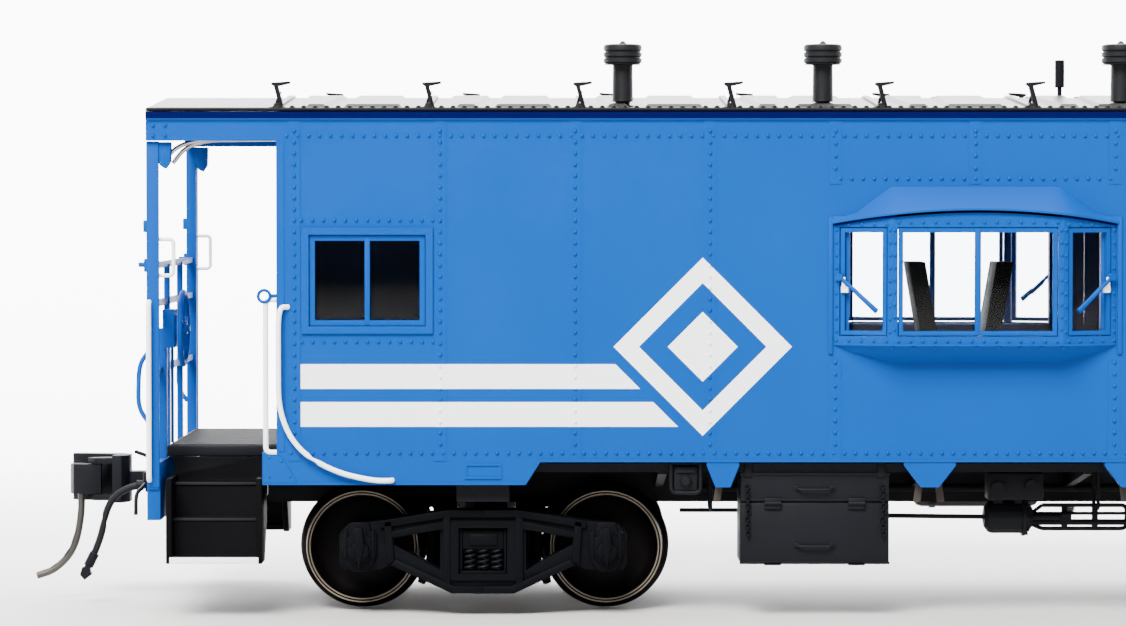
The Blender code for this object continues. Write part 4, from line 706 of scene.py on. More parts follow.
@dataclass
class Repeater:
    """Places copies of a small shape along guide lines, at an even pitch."""

    name: str
    tree: bpy.types.GeometryNodeTree = field(init=False)

    def __post_init__(self) -> None:
        """Builds the tree: resample the lines, place the copies, realise and dress them."""
        tree = bpy.data.node_groups.new(self.name, "GeometryNodeTree")
        self.tree = tree
        face = tree.interface
        face.new_socket("Geometry", in_out="INPUT", socket_type="NodeSocketGeometry")
        for size in ("Pitch", "Radius", "Height"):
            face.new_socket(size, in_out="INPUT", socket_type="NodeSocketFloat")
        face.new_socket("Material", in_out="INPUT", socket_type="NodeSocketMaterial")
        face.new_socket("Geometry", in_out="OUTPUT", socket_type="NodeSocketGeometry")
        given = tree.nodes.new("NodeGroupInput")
        lines = add_node(tree, "GeometryNodeMeshToCurve", {0: given.outputs["Geometry"]})
        spaced = add_node(tree, "GeometryNodeResampleCurve", {"Curve": lines.outputs[0]}, mode="LENGTH")
        tree.links.new(given.outputs["Pitch"], spaced.inputs["Length"])
        copies = self.copies(spaced.outputs[0], given)
        real = add_node(tree, "GeometryNodeRealizeInstances", {0: copies})
        dressed = add_node(
            tree, "GeometryNodeSetMaterial",
            {"Geometry": real.outputs[0], "Material": given.outputs["Material"]}
        )
        add_node(tree, "NodeGroupOutput", {0: dressed.outputs[0]})

    def copies(self, points: bpy.types.NodeSocket, given: bpy.types.Node) -> bpy.types.NodeSocket:
        """Rivet heads: low domes that look the same from any side."""
        head = add_node(
            self.tree, "GeometryNodeMeshUVSphere",
            {"Segments": 8, "Rings": 5, "Radius": given.outputs["Radius"]}
        )
        placed = add_node(
            self.tree, "GeometryNodeInstanceOnPoints", {"Points": points, "Instance": head.outputs[0]}
        )
        return placed.outputs[0]

    def make(
        self, name: str, lines: Iterable[tuple[Point, Point]], pitch: float, radius: float, height: float,
        finish: Finish, body: str = "root", half: Half = Half.A
    ) -> bpy.types.Object:
        """Makes one piece of copies along some lines.

        Args:
            name: The piece's name.
            lines: Starts and ends, in millimetres, drawn for the A half.
            pitch: Distance between copies.
            radius: Size of each copy.
            height: A second size, which only some copies use.
            finish: What they are made of.
            body: The CAD body that they move with.
            half: The half of the car that they are for.

        Returns:
            The new piece, with a plain mesh.
        """
        corners, edges = [], []
        for start, end in lines:
            edges.append((len(corners), len(corners) + 1))
            corners += [half.turn @ Vector(start) * MM, half.turn @ Vector(end) * MM]
        guide = bpy.data.meshes.new(name)
        guide.from_pydata(corners, edges, [])
        obj = bpy.data.objects.new(name, guide)
        bpy.context.scene.collection.objects.link(obj)
        modifier = obj.modifiers.new("copies", "NODES")
        modifier.node_group = self.tree
        sizes = {"Pitch": pitch * MM, "Radius": radius * MM, "Height": height * MM}
        for socket in self.tree.interface.items_tree:
            if socket.in_out == "INPUT" and socket.name in sizes:
                modifier[socket.identifier] = sizes[socket.name]
            if socket.in_out == "INPUT" and socket.name == "Material":
                modifier[socket.identifier] = finish.material()
        plain = evaluated_mesh(obj)
        obj.modifiers.clear()
        obj.data = plain
        return settle(obj, finish, body)


@dataclass
class LinkRepeater(Repeater):
    """Places chain links along guide lines, each turned a quarter from the last."""

    def copies(self, points: bpy.types.NodeSocket, given: bpy.types.Node) -> bpy.types.NodeSocket:
        """Round wire links: a small ring swept with a finer ring."""
        tree = self.tree
        ring = add_node(
            tree, "GeometryNodeCurvePrimitiveCircle", {"Resolution": 10, "Radius": given.outputs["Radius"]}
        )
        wire = add_node(
            tree, "GeometryNodeCurvePrimitiveCircle", {"Resolution": 6, "Radius": given.outputs["Height"]}
        )
        link = add_node(
            tree, "GeometryNodeCurveToMesh", {"Curve": ring.outputs[0], "Profile Curve": wire.outputs[0]}
        )
        count = add_node(tree, "GeometryNodeInputIndex").outputs[0]
        quarter = add_node(tree, "ShaderNodeMath", {0: count, 1: math.pi / 2}, operation="MULTIPLY")
        turn = add_node(tree, "ShaderNodeCombineXYZ", {"X": math.pi / 2, "Z": quarter.outputs[0]})
        placed = add_node(
            tree, "GeometryNodeInstanceOnPoints",
            {"Points": points, "Instance": link.outputs[0], "Rotation": turn.outputs[0]}
        )
        return placed.outputs[0]


# The frame's own sizes ---------------------------------------------------------------------


@dataclass
class FrameSizes:
    """Places read from the CAD frame, in millimetres."""

    side_y: float = field(init=False)
    end_x: float = field(init=False)
    roof_x: float = field(init=False)
    eave_z: float = field(init=False)
    ridge_z: float = field(init=False)
    roof_half: float = field(init=False)
    truck_x: float = field(init=False)

    def __post_init__(self) -> None:
        """Reads the boxes of the nodes that the places come from."""
        shell_low, _shell_high = box_mm("body_shell")
        roof_low, roof_high = box_mm("roof")
        self.side_y = shell_low.y
        self.end_x = box_mm("platform_a_end")[1].x + 0.05
        self.roof_x = roof_low.x
        self.eave_z = roof_low.z
        self.ridge_z = roof_high.z - 0.22
        self.roof_half = roof_high.y
        bolster_low, bolster_high = box_mm("truck_a_bolster")
        self.truck_x = (bolster_low.x + bolster_high.x) / 2

    def roof_top(self, y: float) -> float:
        """Height of the roof's upper face at a place across the car."""
        edge = self.eave_z + 0.2
        return edge + (self.ridge_z - edge) * (1 - abs(y) / self.roof_half)


# House ---------------------------------------------------------------------------------------


@dataclass
class House:
    """The body's fixed trim: battens, rivets, gutters, crease and end doors. Sizes in mm."""

    sizes: FrameSizes
    columns: tuple[float, ...] = (-56.5, -44.4, -33.2, -22.0, 22.0, 33.2, 44.4, 56.5)
    bay_columns: tuple[float, ...] = (-11.6, 11.6)
    rivet_pitch: float = 0.9
    rivet_radius: float = 0.17
    rivet_low: float = 14.6
    rivet_high: float = 40.6
    eave_row: float = 40.2
    sill_row: float = 13.85
    over_bay_row: float = 36.65
    window_rows: tuple[float, float] = (23.1, 33.2)
    batten_half: float = 0.5
    batten_proud: float = 0.05
    gutter_low: float = 41.45
    gutter_out: float = 0.42
    skirt_reach: float = 20.6
    door_half: float = 4.0
    door_low: float = 14.5
    door_high: float = 36.0

    def battens(self) -> Shape:
        """Cover strips under the rivet columns of one side."""
        shape = Shape()
        y = self.sizes.side_y
        spans = [(x, 13.2, self.gutter_low) for x in self.columns]
        spans += [(x, 13.2, 21.5) for x in self.bay_columns]
        spans += [(x, 36.2, self.gutter_low) for x in (*self.bay_columns, 0.0)]
        for x, low, high in spans:
            outline = rectangle(x - self.batten_half, x + self.batten_half, low, high)
            shape.slab(outline, y - self.batten_proud, y + 0.05, "Y")
        return shape

    def trim(self) -> Shape:
        """The bottom crease, the skirt's raised panels and the corner angles of one side."""
        shape = Shape()
        y = self.sizes.side_y
        inner = self.sizes.end_x + self.skirt_reach + 1.3
        shape.block((inner, y - 0.08, 13.1), (-inner, y + 0.05, 13.35))
        for sign in (-1, 1):
            outer = sign * (abs(self.sizes.end_x) + 1.1)
            left, right = sorted((outer, sign * (abs(self.sizes.end_x) - self.skirt_reach)))
            shape.block((left, y - 0.08, 11.2), (right, y + 0.05, 11.42))
            low, high = sorted((sign * 39.3, sign * 42.4))
            shape.ring_frame((low, high, 11.7, 13.0), (low + 0.2, high - 0.2, 11.9, 12.8), y - 0.1, y)
            low, high = sorted((sign * 57.35, sign * 57.95))
            shape.slab(rectangle(low, high, 14.0, 39.7), y - 0.06, y + 0.05, "Y")
            gusset = [(sign * 59.1, 11.4), (sign * 56.3, 11.4), (sign * 57.6, 13.6), (sign * 59.1, 13.8)]
            shape.slab(gusset, y - 0.12, y + 0.05, "Y")
        return shape

    def gutter_cove(self) -> Shape:
        """The deep cove of the gutter, under the roof's edge, coloured a darker blue as painted shade."""
        y, top = self.sizes.side_y, self.sizes.eave_z - 0.02
        ring = [(y + 0.05, top - 0.62), (y - 0.16, top - 0.56), (y - 0.3, top - 0.08), (y + 0.05, top)]
        return Shape().slab(ring, self.sizes.roof_x, -self.sizes.roof_x, "X")

    def gutter(self) -> Shape:
        """The rounded fascia of one side, under the gutter's cove."""
        y, top = self.sizes.side_y, self.sizes.eave_z - 0.6
        out = self.gutter_out
        ring = [
            (y + 0.1, self.gutter_low), (y - 0.06, self.gutter_low), (y - 0.1, self.gutter_low + 0.1),
            (y - 0.2, top - 0.1), (y - out * 0.6, top), (y + 0.1, top)
        ]
        return Shape().slab(ring, self.sizes.roof_x, -self.sizes.roof_x, "X")

    def door(self) -> Shape:
        """The end door's slab, frame and panels, on the A end's wall."""
        x = self.sizes.end_x
        shape = Shape()
        half, low, high = self.door_half, self.door_low, self.door_high
        shape.block((x - 0.35, -half, low), (x, half, high), 0.08)
        for left, right, bottom, top in (
            (-half - 0.5, -half + 0.25, low - 0.1, high + 0.5),
            (half - 0.25, half + 0.5, low - 0.1, high + 0.5),
            (-half - 0.5, half + 0.5, high - 0.1, high + 0.55),
        ):
            shape.block((x - 0.5, left, bottom), (x, right, top), 0.06)
        shape.block((x - 0.5, -2.6, low + 1.0), (x - 0.1, 2.6, low + 8.0), 0.1)
        for level in (low + 3.0, low + 10.0, low + 17.0):
            shape.bar((x - 0.5, -half + 0.1, level - 0.6), (x - 0.5, -half + 0.1, level + 0.6), 0.16)
        return shape

    def door_glass(self) -> Shape:
        """The end door's window pane, in a raised frame; painted shade makes it near-black, standing in for
        the dark room behind it.
        """
        x = self.sizes.end_x
        return Shape().block((x - 0.42, -2.2, 27.0), (x - 0.2, 2.2, 34.0), 0.05)

    def door_frame(self) -> Shape:
        """The gasket round the door's pane and the door's handle."""
        x = self.sizes.end_x
        shape = Shape()
        for low, high in (
            ((-2.6, 26.6), (2.6, 27.1)), ((-2.6, 33.9), (2.6, 34.4)), ((-2.6, 26.6), (-2.1, 34.4)),
            ((2.1, 26.6), (2.6, 34.4))
        ):
            shape.block((x - 0.55, *low), (x - 0.3, *high), 0.05)
        shape.bar((x - 0.35, 3.1, 25.0), (x - 0.8, 3.1, 25.0), 0.18)
        shape.bar((x - 0.75, 3.2, 25.0), (x - 0.75, 2.0, 25.0), 0.12)
        return shape

    def rivet_lines(self) -> list[tuple[Point, Point]]:
        """Starts and ends of the rivet rows and columns of one side."""
        y = self.sizes.side_y - self.batten_proud
        flat = self.sizes.side_y
        lines = [((x, y, self.rivet_low), (x, y, self.rivet_high)) for x in self.columns]
        for x in self.bay_columns:
            lines.append(((x, y, self.rivet_low), (x, y, 21.4)))
            lines.append(((x, y, 37.5), (x, y, self.rivet_high)))
        lines.append(((0.0, y, 37.5), (0.0, y, self.rivet_high)))
        end = self.sizes.end_x + 0.9
        lines.append(((end, flat, self.eave_row), (-end, flat, self.eave_row)))
        inner = self.sizes.end_x + 1.2
        lines.append(((inner, flat, self.sill_row), (-inner, flat, self.sill_row)))
        lines.append(((-11.2, flat, self.over_bay_row), (11.2, flat, self.over_bay_row)))
        for level in self.window_rows:
            lines.append(((-55.9, flat, level), (-45.0, flat, level)))
        for sign in (-1, 1):
            start = sign * (abs(self.sizes.roof_x) - 0.6)
            for level in (40.2, 41.05):
                lines.append(((start, flat, level), (start - sign * 1.0, flat, level)))
            lines.append(((sign * 58.6, y, 11.9), (sign * 58.6, y, 13.5)))
            lines.append(((sign * 56.9, y, 11.9), (sign * 57.6, y, 13.2)))
        return lines

    def build(self, rivets: Repeater) -> None:
        """Makes the house's pieces."""
        dress("body_shell", BODY_BLUE)
        for_halves(self.battens, "side_battens", BODY_BLUE)
        for_halves(self.trim, "side_trim", BODY_BLUE)
        for_halves(self.gutter, "gutter", TRIM_BLUE)
        # The cove takes the darker blue of painted shade.
        for_halves(self.gutter_cove, "gutter_cove", SHADE_BLUE)
        for_halves(self.door, "end_door", TRIM_BLUE)
        # The pane is near-black as painted shade for the room behind it.
        for_halves(self.door_glass, "end_door_pane", SHADED_PANE)
        for_halves(self.door_frame, "end_door_fittings", TRIM_BLUE)
        for half in Half:
            rivets.make(
                f"side_rivets_{half.value}", self.rivet_lines(), self.rivet_pitch, self.rivet_radius, 0.0,
                BODY_BLUE, half=half
            )


@dataclass
class SideWindow:
    """The window at the left of each side: casing, sash and mullion. Sizes in mm."""

    sizes: FrameSizes
    lap: float = 0.8  # the glazing's flange behind the wall
    casing: float = 0.6
    casing_proud: float = 0.22
    sash: float = 0.5
    mullion: float = 0.45

    def opening(self) -> tuple[float, float, float, float]:
        """Left, right, bottom and top of the opening in the wall."""
        low, high = box_mm("side_glass_near")
        return low.x + self.lap, high.x - self.lap, low.z + self.lap, high.z - self.lap

    def casing_frame(self) -> Shape:
        """The raised casing round the opening."""
        left, right, low, high = self.opening()
        y, wide = self.sizes.side_y, self.casing
        shape = Shape()
        shape.ring_frame(
            (left - wide, right + wide, low - wide, high + wide), (left, right, low, high),
            y - self.casing_proud, y
        )
        return shape

    def sash_frame(self) -> Shape:
        """The sash inside the opening, with its mullion and meeting rail."""
        left, right, low, high = self.opening()
        y, wide = self.sizes.side_y, self.sash
        gap = 0.06
        outer = (left + gap, right - gap, low + gap, high - gap)
        inner = (left + wide, right - wide, low + wide, high - wide)
        shape = Shape().ring_frame(outer, inner, y + 0.02, y + 0.4)
        middle = (left + right) / 2
        half = self.mullion / 2
        shape.block((middle - half, y + 0.0, low + gap), (middle + half, y + 0.42, high - gap), 0.05)
        return shape

    def build(self) -> None:
        """Makes the window's pieces and clears its pane."""
        for_halves(self.casing_frame, "window_casing", TRIM_BLUE)
        for_halves(self.sash_frame, "window_sash", TRIM_BLUE)
        for half in Half:
            dress(f"side_glass_{half.side}", GLASS)


@dataclass
class BayWindow:
    """The bay on each side: casing, visor, sashes, flanges, wipers and rivets. Sizes in mm."""

    sizes: FrameSizes
    front_half: float = 7.05
    sheet: float = 0.55
    bottom: float = 22.9
    arc_top: float = 34.15
    arc_end: float = 33.05
    visor_out: float = 0.3
    visor_thick: float = 0.16
    roof_top: float = 36.0
    roof_half: float = 7.0
    shoulder: float = 10.3
    window_low: float = 23.62
    window_high: float = 32.65
    front_window_half: float = 6.62
    side_margin: float = 0.45
    sash: float = 0.45
    sash_gap: float = 0.09
    mullion: float = 0.5
    apron_low: float = 21.4

    def __post_init__(self) -> None:
        """Reads the bay's base and front from the frame."""
        low, high = box_mm("bay_window_near")
        self.base_half = high.x
        self.front_y = low.y
        self.back_y = high.y

    def arc(self, x: float) -> float:
        """Height of the casing's curved top at a place along the car."""
        return self.arc_top - (self.arc_top - self.arc_end) * (x / self.base_half) ** 2

    def plan(self, x: float, out: float = 0.0) -> float:
        """Y of the casing's outer face, or of a line that far outside it, at a place along."""
        run = self.base_half - self.front_half
        share = max(0.0, abs(x) - self.front_half) / run
        return self.front_y - out + share * (self.back_y - self.front_y)

    def side_frame_matrix(self, sign: int) -> Matrix:
        """Carries a flat panel, drawn with X along it from the front corner, to a slanted side."""
        run = self.base_half - self.front_half
        depth = self.back_y - self.front_y
        along = Vector((sign * run, depth, 0.0)).normalized()
        up = Vector((0.0, 0.0, 1.0))
        inward = along.cross(up) * (1 if sign < 0 else -1)
        if inward.y < 0:
            inward.negate()
        turn = Matrix((along, inward, up)).transposed().to_4x4()
        return Matrix.Translation((sign * self.front_half, self.front_y, 0.0)) @ turn

    @property
    def side_length(self) -> float:
        """Length of a slanted side."""
        run = self.base_half - self.front_half
        return math.hypot(run, self.back_y - self.front_y)

    def panel(
        self, left: float, right: float, top: Callable[[float], float], hole: Sequence[float]
    ) -> Shape:
        """A flat panel with a curved top and a window hole, its outer face at Y nought."""
        shape = Shape()
        steps = 8
        h_left, h_right, h_low, h_high = hole
        shape.slab(rectangle(left, right, self.bottom, h_low), 0.0, self.sheet, "Y")
        shape.slab(rectangle(left, h_left, h_low, h_high), 0.0, self.sheet, "Y")
        shape.slab(rectangle(h_right, right, h_low, h_high), 0.0, self.sheet, "Y")
        crown = [(left, h_high), (right, h_high)]
        crown += [
            (right + (left - right) * step / steps, top(right + (left - right) * step / steps))
            for step in range(steps + 1)
        ]
        shape.slab(crown, 0.0, self.sheet, "Y")
        return shape

    def side_hole(self) -> tuple[float, float, float, float]:
        """The window hole in a slanted side, along its own length."""
        return (self.side_margin, self.side_length - self.side_margin, self.window_low, self.window_high)

    def casing(self) -> Shape:
        """The front and the two slanted sides."""
        half = self.front_half
        hole = (-self.front_window_half, self.front_window_half, self.window_low, self.window_high)
        shape = self.panel(-half, half, self.arc, hole).moved(Matrix.Translation((0.0, self.front_y, 0.0)))
        run = (self.base_half - half) / self.side_length
        for sign in (-1, 1):
            side = self.panel(0.0, self.side_length, lambda s: self.arc(half + s * run), self.side_hole())
            shape.add(side.moved(self.side_frame_matrix(sign)))
        return shape

    def visor(self) -> Shape:
        """The bay's roof sheet, from its curved front edge up to the side."""
        steps = 24
        reach = self.base_half + 0.2
        front, middle, back = [], [], []
        for step in range(steps + 1):
            x = -reach + 2 * reach * step / steps
            y = min(self.plan(x, self.visor_out), self.back_y)
            z = self.arc(x) + 0.05
            if abs(x) < self.roof_half:
                rear = self.roof_top
            else:
                share = min(1.0, (abs(x) - self.roof_half) / (self.shoulder - self.roof_half))
                rear = self.roof_top + share * (self.arc(self.shoulder) + 0.25 - self.roof_top)
            rear = max(rear, z + 0.02)
            front.append((x, y, z))
            middle.append((x, (y + self.back_y) / 2, z + (rear - z) * 0.55))
            back.append((x, self.back_y, rear))
        return Shape().sheet([front, middle, back], self.visor_thick)

    def drip_rail(self) -> Shape:
        """A thin strip of painted shadow under the visor's front edge, standing in for the shade that the
        visor's lip casts.
        """
        rows = [[], []]
        steps = 24
        for step in range(steps + 1):
            x = self.base_half * (2 * step / steps - 1)
            y = min(self.plan(x, self.visor_out - 0.1), self.back_y)
            for row, drop in zip(rows, (0.02, 0.22)):
                row.append((x, y, self.arc(x) - drop))
        return Shape().sheet(rows, 0.1)

    def apron(self) -> Shape:
        """The closed underside, which turns back to the side in two facets."""
        y, back = self.front_y, self.back_y
        points = [(-self.base_half + 0.1, back, self.bottom), (self.base_half - 0.1, back, self.bottom)]
        for sign in (-1, 1):
            points.append((sign * self.front_half, y + 0.03, self.bottom))
            points.append((sign * (self.front_half - 0.2), y + 0.6, self.bottom - 0.75))
            points.append((sign * (self.base_half - 1.0), back, self.bottom - 0.5))
            points.append((sign * self.roof_half, back, self.apron_low))
        return Shape().hull(points)

    def flanges(self) -> Shape:
        """Upright strips on the side, past the bay's ends."""
        shape = Shape()
        y = self.sizes.side_y
        for sign in (-1, 1):
            low, high = sorted((sign * (self.base_half + 0.12), sign * (self.base_half + 0.5)))
            shape.block((low, y - 0.2, 22.1), (high, y + 0.02, 33.5), 0.05)
        return shape

    def lip(self) -> Shape:
        """The narrow ledge round the bottom of the casing."""
        shape = Shape()
        y = self.front_y
        half = self.front_half
        ring = [
            (-self.base_half - 0.05, self.back_y), (-half - 0.03, y - 0.1), (half + 0.03, y - 0.1),
            (self.base_half + 0.05, self.back_y)
        ]
        return shape.slab(ring, self.bottom - 0.06, self.bottom + 0.1, "Z")

    def sashes(self) -> Shape:
        """The three window frames, a hair's gap inside their openings."""
        gap, wide = self.sash_gap, self.sash
        low, high = self.window_low, self.window_high
        half = self.front_window_half

        def sash(left: float, right: float) -> Shape:
            """One sash, drawn flat."""
            outer = (left + gap, right - gap, low + gap, high - gap)
            inner = (left + wide, right - wide, low + wide, high - wide)
            return Shape().ring_frame(outer, inner, 0.06, 0.45)

        front = sash(-half, half)
        bar = self.mullion / 2
        front.block((-bar, 0.02, low + gap), (bar, 0.47, high - gap), 0.04)
        shape = front.moved(Matrix.Translation((0.0, self.front_y, 0.0)))
        for sign in (-1, 1):
            left, right, _low, _high = self.side_hole()
            shape.add(sash(left, right).moved(self.side_frame_matrix(sign)))
        return shape

    def wipers(self) -> Shape:
        """A blade arm on each slanted window, with its hub."""
        shape = Shape()
        for sign in (-1, 1):
            flat = Shape()
            start, end = (self.side_length - 0.6, -0.35, 28.5), (1.2, -0.35, 25.75)
            flat.tube([(start[0], 0.1, start[2]), start, end], 0.16)
            flat.tube([Vector(start).lerp(Vector(end), 0.35), Vector(end) + Vector((0.1, 0.1, -0.1))], 0.2)
            flat.bar((start[0], 0.15, start[2]), (start[0], -0.5, start[2]), 0.3)
            shape.add(flat.moved(self.side_frame_matrix(sign)))
        return shape

    def wiper_links(self) -> Shape:
        """The white linkage behind each wiper's hub."""
        shape = Shape()
        for sign in (-1, 1):
            flat = Shape()
            x = self.side_length - 0.95
            flat.block((x - 0.35, -0.2, 27.2), (x + 0.3, 0.05, 27.75), 0.06)
            flat.block((x - 0.1, -0.28, 27.6), (x + 0.2, -0.1, 28.5), 0.05)
            shape.add(flat.moved(self.side_frame_matrix(sign)))
        return shape

    def rivet_lines(self) -> list[tuple[Point, Point]]:
        """Rows round the three windows."""
        lines = []
        y, half = self.front_y, self.front_half
        for level in (23.25, 33.05):
            lines.append(((-half + 0.5, y, level), (half - 0.5, y, level)))
        for sign in (-1, 1):
            lines.append(((sign * (half - 0.18), y, 24.2), (sign * (half - 0.18), y, 32.4)))
            place = self.side_frame_matrix(sign)
            for level in (23.25, 32.85):
                start = place @ Vector((0.5, 0.0, level))
                end = place @ Vector((self.side_length - 0.2, 0.0, level))
                lines.append((start, end))
            for along in (0.2, self.side_length - 0.22):
                start = place @ Vector((along, 0.0, 24.0))
                end = place @ Vector((along, 0.0, 32.4))
                lines.append((start, end))
        return lines

    def apron_rivet_lines(self) -> list[tuple[Point, Point]]:
        """A row of small heads just under the lip."""
        y = self.front_y + 0.12
        level = self.bottom - 0.2
        return [((-self.front_half, y, level), (self.front_half, y, level))]

    def build(self, rivets: Repeater) -> None:
        """Makes the bay's pieces and clears its glazing."""
        for_halves(self.casing, "bay_casing", TRIM_BLUE, stands_for=("bay_window_SIDE",))
        for_halves(self.visor, "bay_visor", TRIM_BLUE)
        # A strip in the darker blue of painted shade, for the shadow under the visor's edge.
        for_halves(self.drip_rail, "bay_visor_shadow_strip", SHADE_BLUE)
        for_halves(self.apron, "bay_apron", TRIM_BLUE)
        for_halves(self.flanges, "bay_flanges", TRIM_BLUE)
        for_halves(self.lip, "bay_lip", TRIM_BLUE)
        for_halves(self.sashes, "bay_sashes", TRIM_BLUE)
        for_halves(self.wipers, "bay_wipers", TRIM_BLUE)
        for_halves(self.wiper_links, "bay_wiper_links", WHITE)
        for half in Half:
            dress(f"bay_glass_{half.side}", GLASS)
            name = f"bay_rivets_{half.value}"
            rivets.make(name, self.rivet_lines(), 0.95, 0.15, 0.0, TRIM_BLUE, half=half)
            name = f"bay_apron_rivets_{half.value}"
            lines = self.apron_rivet_lines()
            rivets.make(name, lines, 1.6, 0.14, 0.0, TRIM_BLUE, half=half)


@dataclass
class Roof:
    """The roof's stampings, eave rivets, brackets and stacks. Sizes in mm."""

    sizes: FrameSizes
    seam_pitch: float = 12.53
    seam_first: float = 0.1
    stamping_rise: float = 0.3
    stamping_slope: float = 0.45
    eave_y: float = 15.4
    ridge_y: float = 1.2
    rivet_pitch: float = 0.95
    bracket_top: float = 44.6

    def seams(self) -> list[float]:
        """Places of the cross seams."""
        places = []
        place = self.sizes.end_x + self.seam_first
        while place < -self.sizes.end_x:
            places.append(place)
            place += self.seam_pitch
        return places

    def stamping(self, shape: Shape, centre: float, eave: float, ridge: float, side: int) -> None:
        """Adds one raised panel between the eave and the ridge."""
        points = []
        for y, wide in ((self.eave_y, eave), (self.ridge_y, ridge)):
            level = self.sizes.roof_top(y)
            inset = self.stamping_slope
            for across in (-1, 1):
                x = centre + across * wide / 2
                points.append((x + across * inset * 0.8, side * y, level - 0.05))
                step = inset if y == self.eave_y else -inset
                points.append((x, side * (y - step), self.sizes.roof_top(y - step) + self.stamping_rise))
        shape.hull(points)

    def stampings(self) -> Shape:
        """Every raised panel on both slopes."""
        shape = Shape()
        for place in self.seams()[:-1]:
            for side in (-1, 1):
                self.stamping(shape, place + 3.15, 1.2, 2.9, side)
                self.stamping(shape, place + 7.88, 4.3, 3.7, side)
        return shape

    def edge_bead(self) -> Shape:
        """The rolled black edge along each eave, with the flat flange behind it."""
        shape = Shape()
        start, end = self.sizes.roof_x + 0.05, -self.sizes.roof_x - 0.05
        for side in (-1, 1):
            y = side * (self.sizes.roof_half - 0.02)
            z = self.sizes.eave_z + 0.14
            shape.tube([(start, y, z), (end, y, z)], 0.14)
            inner = y - side * 0.9
            top = self.sizes.roof_top(y)
            rise = self.sizes.roof_top(inner)
            flange = [(y, top + 0.05), (inner, rise + 0.06), (inner, rise - 0.05), (y, top - 0.1)]
            shape.slab(flange, start, end, "X")
        return shape

    def bracket(self, x: float, side: int) -> Shape:
        """A bent strap bracket that stands on the eave at a seam."""
        y = side * 15.9
        foot = self.sizes.roof_top(y)
        top = self.bracket_top
        shape = Shape()
        base = [(0.8, -0.1), (0.75, 0.06), (0.35, 0.14), (0.24, 0.42)]
        ring = [(x + across, foot + up) for across, up in base]
        ring += [(x - across, foot + up) for across, up in reversed(base)]
        shape.slab(ring, y - 0.45, y + 0.45, "Y", 0.04)
        strap = [
            (x + 0.16, foot + 0.1), (x + 0.52, foot + 0.1), (x + 0.06, top - 0.28), (x + 1.05, top - 0.06),
            (x + 1.05, top + 0.12), (x - 0.5, top + 0.02), (x - 0.52, top - 0.14), (x - 0.28, top - 0.3)
        ]
        shape.slab(strap, y - 0.4, y + 0.4, "Y", 0.03)
        stay = [(x - 0.34, foot + 0.1), (x - 0.1, foot + 0.1), (x + 0.28, top - 0.7), (x + 0.02, top - 0.7)]
        shape.slab(stay, y - side * 0.75 - 0.14, y - side * 0.75 + 0.14, "Y")
        return shape

    def brackets(self) -> Shape:
        """The brackets of one eave."""
        shape = Shape()
        for place in self.seams():
            shape.add(self.bracket(place, -1))
        return shape

    def stack(self, number: int) -> None:
        """Makes one smoke jack with its ringed cap, in place of its CAD node."""
        node = f"stack_{number}"
        low, high = box_mm(node)
        centre = ((low.x + high.x) / 2, (low.y + high.y) / 2, 0.0)
        cap, stem = (high.x - low.x) / 2, 0.83
        top = high.z
        bottom = top - 2.0
        seat = self.sizes.roof_top(centre[1])
        profile = [(0.0, top), (0.12, top - 0.03), (0.34, top - 0.26), (cap - 0.25, top - 0.3)]
        profile.append((cap - 0.05, top - 0.38))
        level = top - 0.45
        for _band in range(3):
            profile += [
                (cap, level - 0.05), (cap, level - 0.36), (cap - 0.13, level - 0.42),
                (cap - 0.13, level - 0.5)
            ]
            level -= 0.5
        profile += [
            (cap - 0.05, bottom + 0.02), (cap - 0.2, bottom), (stem + 0.05, bottom), (stem, bottom - 0.06),
            (stem + 0.03, seat + 0.5), (stem + 0.05, seat + 0.42), (0.62, seat + 0.36), (0.62, seat + 0.12),
            (0.95, seat + 0.06), (1.0, seat - 0.12), (0.0, seat - 0.12)
        ]
        Shape().lathe(profile, centre, "Z", 48).piece(f"smoke_jack_{number}", STACK_BLACK, "root", (node,))

    def antenna(self) -> None:
        """Makes the stub antenna with its base."""
        low, high = box_mm("antenna")
        centre = ((low.x + high.x) / 2, (low.y + high.y) / 2, 0.0)
        radius = (high.x - low.x) / 2
        seat = self.sizes.roof_top(0.0)
        profile = [
            (0.0, high.z), (radius - 0.06, high.z), (radius, high.z - 0.06), (radius, high.z - 2.34),
            (radius - 0.06, high.z - 2.4), (0.2, high.z - 2.4), (0.2, seat + 0.2), (0.5, seat + 0.15),
            (0.5, seat - 0.1), (0.0, seat - 0.1)
        ]
        Shape().lathe(profile, centre, "Z", 24).piece("stub_antenna", BLACK, "root", ("antenna",))

    def build(self, rivets: Repeater) -> None:
        """Makes the roof's pieces."""
        dress("roof", ROOF_PAINT)
        self.stampings().piece("roof_stampings", ROOF_PAINT)
        self.edge_bead().piece("roof_edge_bead", BLACK)
        for_halves(self.brackets, "roof_brackets", BLACK)
        for number in (1, 2, 3):
            self.stack(number)
        self.antenna()
        y = self.sizes.side_y + 0.12
        z = self.sizes.roof_top(y) + 0.02
        line = ((self.sizes.end_x + 0.4, y, z), (-self.sizes.end_x - 0.4, y, z))
        for half in Half:
            name = f"eave_rivets_{half.value}"
            rivets.make(name, [line], self.rivet_pitch, 0.25, 0.0, BLACK, half=half)


# Ends ------------------------------------------------------------------------------------------


